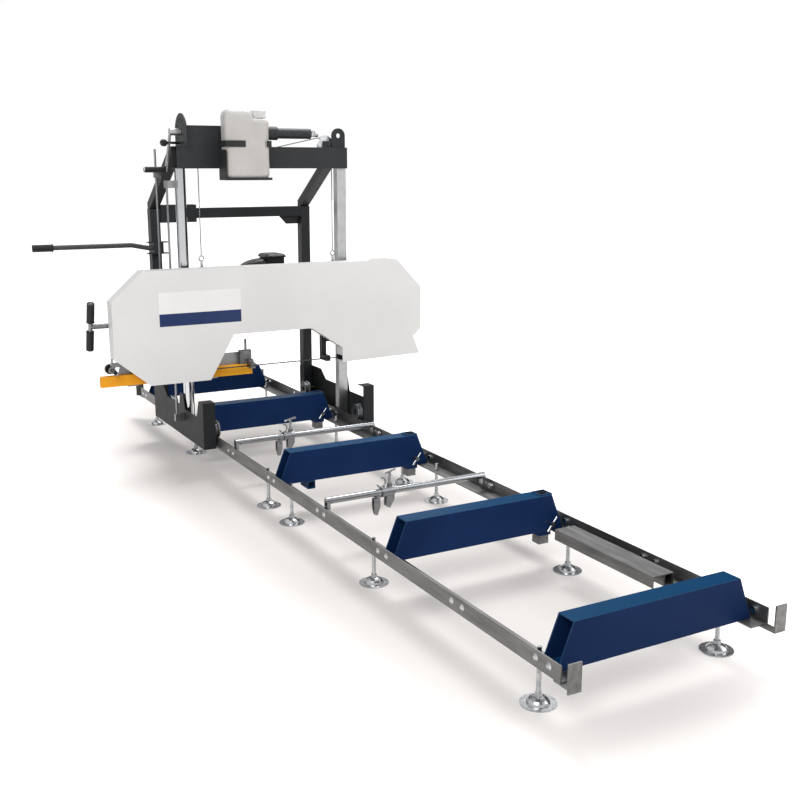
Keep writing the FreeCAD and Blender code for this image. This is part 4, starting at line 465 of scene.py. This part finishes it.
def blown_canister(left, right, front, back, bottom, shoulder, top, step_x):
    """A blow moulded canister: level rings of a rounded rectangle, where each half width is raised to
    the 5th power. The edges at the bottom and the shoulder are quarter circles, the walls sink 1.5 mm
    between them, and the left part's last 60 mm are drawn up to the top, with a smooth step at one X."""
    foot, round_top, power, sink = 34.0, 26.0, 5.0, 1.5
    step_height, step_softness = 60, 2.0
    turn = np.linspace(0, math.pi / 2, 10)
    sides = np.linspace(0.02, 0.98, 24)
    wall_low, wall_high = bottom + foot, shoulder - round_top
    # the base is pushed in 3 mm, and level rings close the top
    base_in, base_up, closing = [54.0, 48.0, 40.0], np.array([3.0, 3.0, 0.0]), np.linspace(30.0, 54.0, 8)
    inset = np.concatenate([base_in, foot * (1 - np.sin(turn)),
                            sink * np.sin(math.pi * sides) ** 0.5,
                            round_top * (1 - np.cos(turn)), closing])
    level = np.concatenate([bottom + base_up, bottom + foot * (1 - np.cos(turn)),
                            wall_low + (wall_high - wall_low) * sides,
                            wall_high + round_top * np.sin(turn), np.full(len(closing), shoulder)])
    angle = np.linspace(0, 2 * math.pi, 20001)
    half_x, half_y = (right - left) / 2, (back - front) / 2
    across = np.sign(np.cos(angle)) * np.abs(np.cos(angle)) ** (2 / power)
    deep = np.sign(np.sin(angle)) * np.abs(np.sin(angle)) ** (2 / power)
    # equal steps along the outline instead of equal angles
    strides = np.hypot(np.diff(across * half_x), np.diff(deep * half_y))
    length = np.concatenate([[0], np.cumsum(strides)])
    even_steps = np.linspace(0, length[-1], 240, endpoint=False)
    across, deep = np.interp(even_steps, length, across), np.interp(even_steps, length, deep)
    x = (left + right) / 2 + (half_x - inset)[:, None] * across[None, :]
    y = (front + back) / 2 + (half_y - inset)[:, None] * deep[None, :]
    rise = 1 / (1 + np.exp((x - step_x) / step_softness))
    ramp = np.clip((level - (shoulder - step_height)) / step_height, 0, 1)[:, None]
    z = level[:, None] + ramp * rise * (top - shoulder)
    return np.stack([x, y, z], axis=-1) * MM + SHIFT


jug = surface("canister_blown",
              [blown_canister(left=-275, right=-14, front=3282, back=3392, bottom=1625, shoulder=1958,
                              top=2000, step_x=-117)],
              canister_polymer, "carriage", close_ends=True)
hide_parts("canister")


def fluted_cap(x, y, low, high, radius):
    """A screw cap: its wall is scalloped 1.2 mm deep 28 times round, and its top is dished 2 mm."""
    around, flutes, depth, dish = 168, 28, 1.2, 2
    angle = np.linspace(0, 2 * math.pi, around, endpoint=False)
    scallop = depth * (0.5 + 0.5 * np.cos(flutes * angle))[None, :]
    tall = high - low
    # one ring to a row: its height, its radius and how much of the scallop it takes
    steps, base, share = np.array([
        (0, radius - 3, 0),
        (1.0, radius, 0),
        (6.0, radius, 0),
        (7.0, radius - 0.6, 1),
        (tall - 4, radius - 0.6, 1),
        (tall - 1.2, radius - 1.4, 0.6),
        (tall, radius - 3.5, 0),
        (tall, radius - 7, 0),
        (tall - dish, radius - 9, 0),
        (tall - dish, 1.0, 0),
    ]).T
    return turned((x, y, low), (x, y, high), steps, base[:, None] - share[:, None] * scallop,
                  around=around)


cap_piece = surface("cap_fluted", [fluted_cap(x=-62.5, y=3337, low=1958, high=1998, radius=42)],
                    cap_polymer, "cap", close_ends=True)
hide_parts("canister_cap")


def hexagon(count, across_flats):
    """Radii of a hexagonal nut: half the width over the cosine of the angle from the nearest flat's
    middle."""
    angle = np.linspace(0, 2 * math.pi, count, endpoint=False)
    return across_flats / 2 / np.cos((angle + math.pi / 6) % (math.pi / 3) - math.pi / 6)


# Winch drum: a lock nut, a second thinner one, and the ridged end of its thread
drum_line = (300, 3450, 1881), (400, 3450, 1881)
nut_around, nut_bore, chamfered = 72, 17.2, 0.9
nut = hexagon(nut_around, across_flats=36)
nut_hole = np.full(nut_around, nut_bore)
nut_rings = [nut_hole, nut * chamfered, nut, nut, nut * chamfered, nut_hole]
surface("drum_nuts", [turned(*drum_line, steps, nut_rings, nut_around)
                      for steps in ([1, 1, 3.5, 15.5, 18, 18], [20, 20, 22, 28, 30, 30])],
        fitting_zinc, "winch", smooth=False)
thread_from, thread_root, ridge_height, ridge_pitch = 30.5, 17.3, 0.8, 3
ridges = np.arange(0, 17.5, 0.5)
ridge_radii = thread_root + ridge_height * (1 - np.abs(2 * (ridges / ridge_pitch % 1.0) - 1))
surface("drum_thread", [turned(*drum_line, thread_from + ridges, ridge_radii)], fitting_zinc, "winch")

# Lift cables: one length drawn in toward the beam lies in another drawn in toward the head, and
# together they reach from the shackles to the beam wherever the head stands
cable_low, cable_high, head_rise = 1205.0, 1685.0, 430.0
for name, body, radius, anchor in (("cables_from_beam", "carriage", 2.5, cable_high),
                                   ("cables_from_head", "head", 2.4, cable_low)):
    strands = surface(name, [turned((x, 3450, cable_low), (x, 3450, cable_high),
                                    [0.0, cable_high - cable_low], [radius, radius], around=16)
                             for x in (-385, 437)],
                      rope_wire, body, close_ends=True)
    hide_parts("lift_cables")
    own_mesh(strands)


def rounded_box(x0, x1, y0, y1, levels, insets, corner, count=96):
    """Level rings of a rectangle with round corners: ring i is drawn in from the sides by insets[i] and
    lies at levels[i]. Each corner is a quarter circle about a point one radius inside both sides."""
    angle = np.linspace(0, 2 * math.pi, count, endpoint=False) + math.pi / count
    insets = np.asarray(insets, dtype=float)[:, None]
    round_now = np.maximum(corner - insets, 0.5)
    side_x, side_y = np.sign(np.cos(angle))[None, :], np.sign(np.sin(angle))[None, :]
    across, deep = round_now * np.cos(angle)[None, :], round_now * np.sin(angle)[None, :]
    x = (x0 + x1) / 2 + side_x * ((x1 - x0) / 2 - insets - round_now) + across
    y = (y0 + y1) / 2 + side_y * ((y1 - y0) / 2 - insets - round_now) + deep
    z = np.repeat(np.asarray(levels, dtype=float)[:, None], count, axis=1)
    return np.stack([x, y, z], axis=-1) * MM + SHIFT


# Air filter: a ribbed case, and a lid that stands over it
case_low, case_high, rib_pitch, rib_depth = 1101, 1160, 9.83, 1.2
rib_level = np.linspace(case_low, case_high, 60)
rib_inset = rib_depth * (0.5 - 0.5 * np.cos(2 * math.pi * (rib_level - case_low) / rib_pitch)) ** 4
filter_case = rounded_box(x0=74, x1=188, y0=3594, y1=3736, levels=rib_level, insets=rib_inset,
                          corner=14)
lid_levels = [case_high, case_high, 1161.5, 1166, 1170, 1176, 1180, 1182, 1182]
lid_insets = [12, 1.5, 0, 0, 1.5, 8, 16, 26, 60]
filter_lid = rounded_box(x0=64, x1=196, y0=3585, y1=3738, levels=lid_levels, insets=lid_insets,
                         corner=20)
filter_piece = surface("filter_housing", [filter_case, filter_lid], black_plastic, "head",
                       close_ends=True, smooth=False)
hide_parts("air_filter")


def duct(x0, x1, y0, y1, low, high):
    """A duct whose roof climbs as a quarter of an ellipse from x0 to x1: its height is 1 mm, plus high -
    low times the root of 1 - (1 - t)^2, and across its depth the roof's edges are rounded as a 4th power
    curve."""
    rings, columns, least = 40, 33, 1.0
    t = np.linspace(0.0, 1.0, rings) ** 1.6
    across = np.linspace(-1, 1, columns)
    roof = (1 - np.abs(across) ** 4) ** 0.25
    rise = (high - low) * np.sqrt(1 - (1 - t) ** 2) + least
    x = np.repeat((x0 + (x1 - x0) * t)[:, None], columns, axis=1)
    y = np.repeat(((y0 + y1) / 2 + (y1 - y0) / 2 * across)[None, :], rings, axis=0)
    top = np.stack([x, y, low + rise[:, None] * roof[None, :]], axis=-1)
    base = top[:, ::-1].copy()
    base[:, :, 2] = low
    return np.concatenate([top, base[:, 1:-1]], axis=1) * MM + SHIFT


# A round shouldered duct lies beside the filter, on the tank
surface("filter_duct", [duct(x0=-66, x1=75, y0=3602, y1=3728, low=1092, high=1152)],
        black_plastic, "head", close_ends=True)


def starter_cover(x, y, z, radius, dome, slots, depth):
    """A pressed starter cover that faces +Y: it stands off its seat by dome x (1 - (r / R) to the 4th),
    and between 0.42 R and 0.86 R slots sink by depth times cos(slots x angle / 2) to the 12th."""
    slots_from, slots_to, slot_end = 0.42, 0.86, 0.03
    share = np.concatenate([[1.0, 1.0], np.linspace(0.995, 0.02, 60)])
    angle = np.linspace(0, 2 * math.pi, 288, endpoint=False)
    window = (np.clip((share - slots_from) / slot_end, 0, 1)
              * np.clip((slots_to - share) / slot_end, 0, 1))
    stand = (dome * (1 - share ** 4)[:, None]
             - depth * window[:, None] * np.cos(slots * angle / 2)[None, :] ** 12)
    # the first ring is sunk 1 mm under the seat, so that no gap shows
    stand[0] = -1.0
    out = radius * share[:, None]
    rings = [x + out * np.cos(angle)[None, :], y + stand, z - out * np.sin(angle)[None, :]]
    return np.stack(rings, axis=-1) * MM + SHIFT


surface("starter_cover",
        [starter_cover(x=100, y=3876, z=903, radius=90, dome=12, slots=24, depth=6)],
        black_plastic, "head", close_ends=True)


def sheet(name, corners, material):
    """A flat four-cornered piece for the stage, in metres."""
    mesh = bpy.data.meshes.new(name)
    mesh.from_pydata(corners, [], [(0, 1, 2, 3)])
    mesh.materials.append(material)
    made = bpy.data.objects.new(name, mesh)
    bpy.context.scene.collection.objects.link(made)
    return made


def seen_by_eye(tree):
    """1 for rays from the camera and from faces that mirror, 0 for all others."""
    rays = add_node(tree, "ShaderNodeLightPath")
    return add_node(tree, "ShaderNodeMath", {"operation": "MAXIMUM"}, None,
                    {0: rays.outputs["Is Camera Ray"],
                     1: rays.outputs["Is Glossy Ray"]}).outputs["Value"]


# Floor: its own light fills the white that the camera sees, and its diffuse part keeps the shadow. The
# glow grows outwards in ovals, from faint at 0.5 m across and 1.8 m along to plain white at 1.3 and 4.7
# m, so the floor near the track holds a painted shadow as well as the real one
floor_paint, tree, output, coords = new_material("pale_studio_floor")
seen = seen_by_eye(tree)
oval = add_node(tree, "ShaderNodeMapping", sockets={"Scale": (1.35, 0.38, 1.0)},
                links={"Vector": coords})
away = add_node(tree, "ShaderNodeVectorMath", {"operation": "LENGTH"}, None,
                {0: oval.outputs["Vector"]})
# painted shadow: the glow is faint near the track and rises to plain white away from it
painted_shadow_fade = add_node(tree, "ShaderNodeMapRange", {"interpolation_type": "SMOOTHSTEP"},
                {"From Min": 0.7, "From Max": 1.8, "To Min": 0.13, "To Max": 1.0},
                {"Value": away.outputs["Value"]})
strength = add_node(tree, "ShaderNodeMath", {"operation": "MULTIPLY"}, None,
                    {0: seen, 1: painted_shadow_fade.outputs["Result"]})
tone = two_tone(tree, coords, "#D8D3D0", "#DBD6D3", size=2.0, detail=2.0, stops=STOPS)
matt = add_node(tree, "ShaderNodeBsdfDiffuse", links={"Color": tone})
glow = add_node(tree, "ShaderNodeEmission", sockets={"Color": (1, 1, 1, 1)},
                links={"Strength": strength.outputs["Value"]})
both = add_node(tree, "ShaderNodeAddShader", None, None,
                {0: matt.outputs["BSDF"], 1: glow.outputs["Emission"]})
tree.links.new(both.outputs["Shader"], output.inputs["Surface"])
reach = 40.0
floor = sheet("floor", [(-reach, -reach, 0), (reach, -reach, 0), (reach, reach, 0), (-reach, reach, 0)],
              floor_paint)

# World: soft light from all round, white where the camera or a reflection sees it
world = bpy.data.worlds.new("studio")
bpy.context.scene.world = world
world.use_nodes = True
tree = world.node_tree
tree.nodes.clear()
output = add_node(tree, "ShaderNodeOutputWorld")
seen = seen_by_eye(tree)
soft = add_node(tree, "ShaderNodeBackground", sockets={"Color": (1, 1, 1, 1), "Strength": 0.38})
white = add_node(tree, "ShaderNodeBackground", sockets={"Color": (1, 1, 1, 1), "Strength": 1.0})
mixed = add_node(tree, "ShaderNodeMixShader", None, None,
                 {0: seen, 1: soft.outputs["Background"], 2: white.outputs["Background"]})
tree.links.new(mixed.outputs["Shader"], output.inputs["Surface"])


def aimed(right, up, back, at):
    """The matrix of something that looks along its own -Z: its three axes as columns, and its place."""
    return Matrix([[right[i], up[i], back[i], at[i]] for i in range(3)] + [[0, 0, 0, 1]])


def lamp(name, at, toward, size, power):
    """A square area lamp at one point, facing another, with its size in metres and power in watts."""
    data = bpy.data.lights.new(name, "AREA")
    data.size = size
    data.energy = power
    made = bpy.data.objects.new(name, data)
    bpy.context.scene.collection.objects.link(made)
    away = np.array(at, dtype=float) - np.array(toward, dtype=float)
    away /= np.linalg.norm(away)
    side = np.cross((0, 0, 1), away)
    side /= np.linalg.norm(side)
    made.matrix_world = aimed(side, np.cross(away, side), away, at)
    return made


lamp("key_lamp", (-4.5, -5.0, 5.0), (0.0, 0.3, 0.5), size=4.0, power=300)
lamp("fill_lamp", (5.5, -4.0, 4.0), (0.0, 0.5, 0.6), size=4.0, power=160)
lamp("top_lamp", (2.0, 2.2, 6.2), (0.0, 0.2, 0.3), size=2.5, power=260)

# Dark studio flags at both sides, which only reflections see: they give bright metal its darker edges
flag_paint, tree, output, coords = new_material("dark_studio_flag")
cloth = add_node(tree, "ShaderNodeBsdfDiffuse", sockets={"Color": colour("#3A3B3D")})
tree.links.new(cloth.outputs["BSDF"], output.inputs["Surface"])
flag_low, flag_high = 0.01, 3.0
for name, near, far in (("flag_right", (4.0, -2.4), (4.0, 5.0)),
                        ("flag_left", (-4.2, 3.0), (-3.0, 6.5))):
    flag = sheet(name, [(*near, flag_low), (*far, flag_low), (*far, flag_high), (*near, flag_high)],
                 flag_paint)
    flag.visible_camera = flag.visible_diffuse = False
    flag.visible_shadow = flag.visible_transmission = False

# Camera: solved from the rails, feet and bunks of the photograph
camera_data = bpy.data.cameras.new("camera")
camera_data.sensor_width = 36.0
camera_data.lens = 47.36
camera_data.clip_end = 100.0
camera = bpy.data.objects.new("camera", camera_data)
bpy.context.scene.collection.objects.link(camera)
yaw, pitch, roll = 0.5083, 0.2221, 0.0025
eye = place(-2319, -2341, 1721)
forward = np.array([math.sin(yaw) * math.cos(pitch), math.cos(yaw) * math.cos(pitch),
                    -math.sin(pitch)])
level = np.array([math.cos(yaw), -math.sin(yaw), 0.0])
upward = np.cross(level, forward)
right = level * math.cos(roll) + upward * math.sin(roll)
lift = upward * math.cos(roll) - level * math.sin(roll)
camera.matrix_world = aimed(right, lift, -forward, eye)
bpy.context.scene.camera = camera
bpy.context.scene.view_settings.view_transform = "Standard"
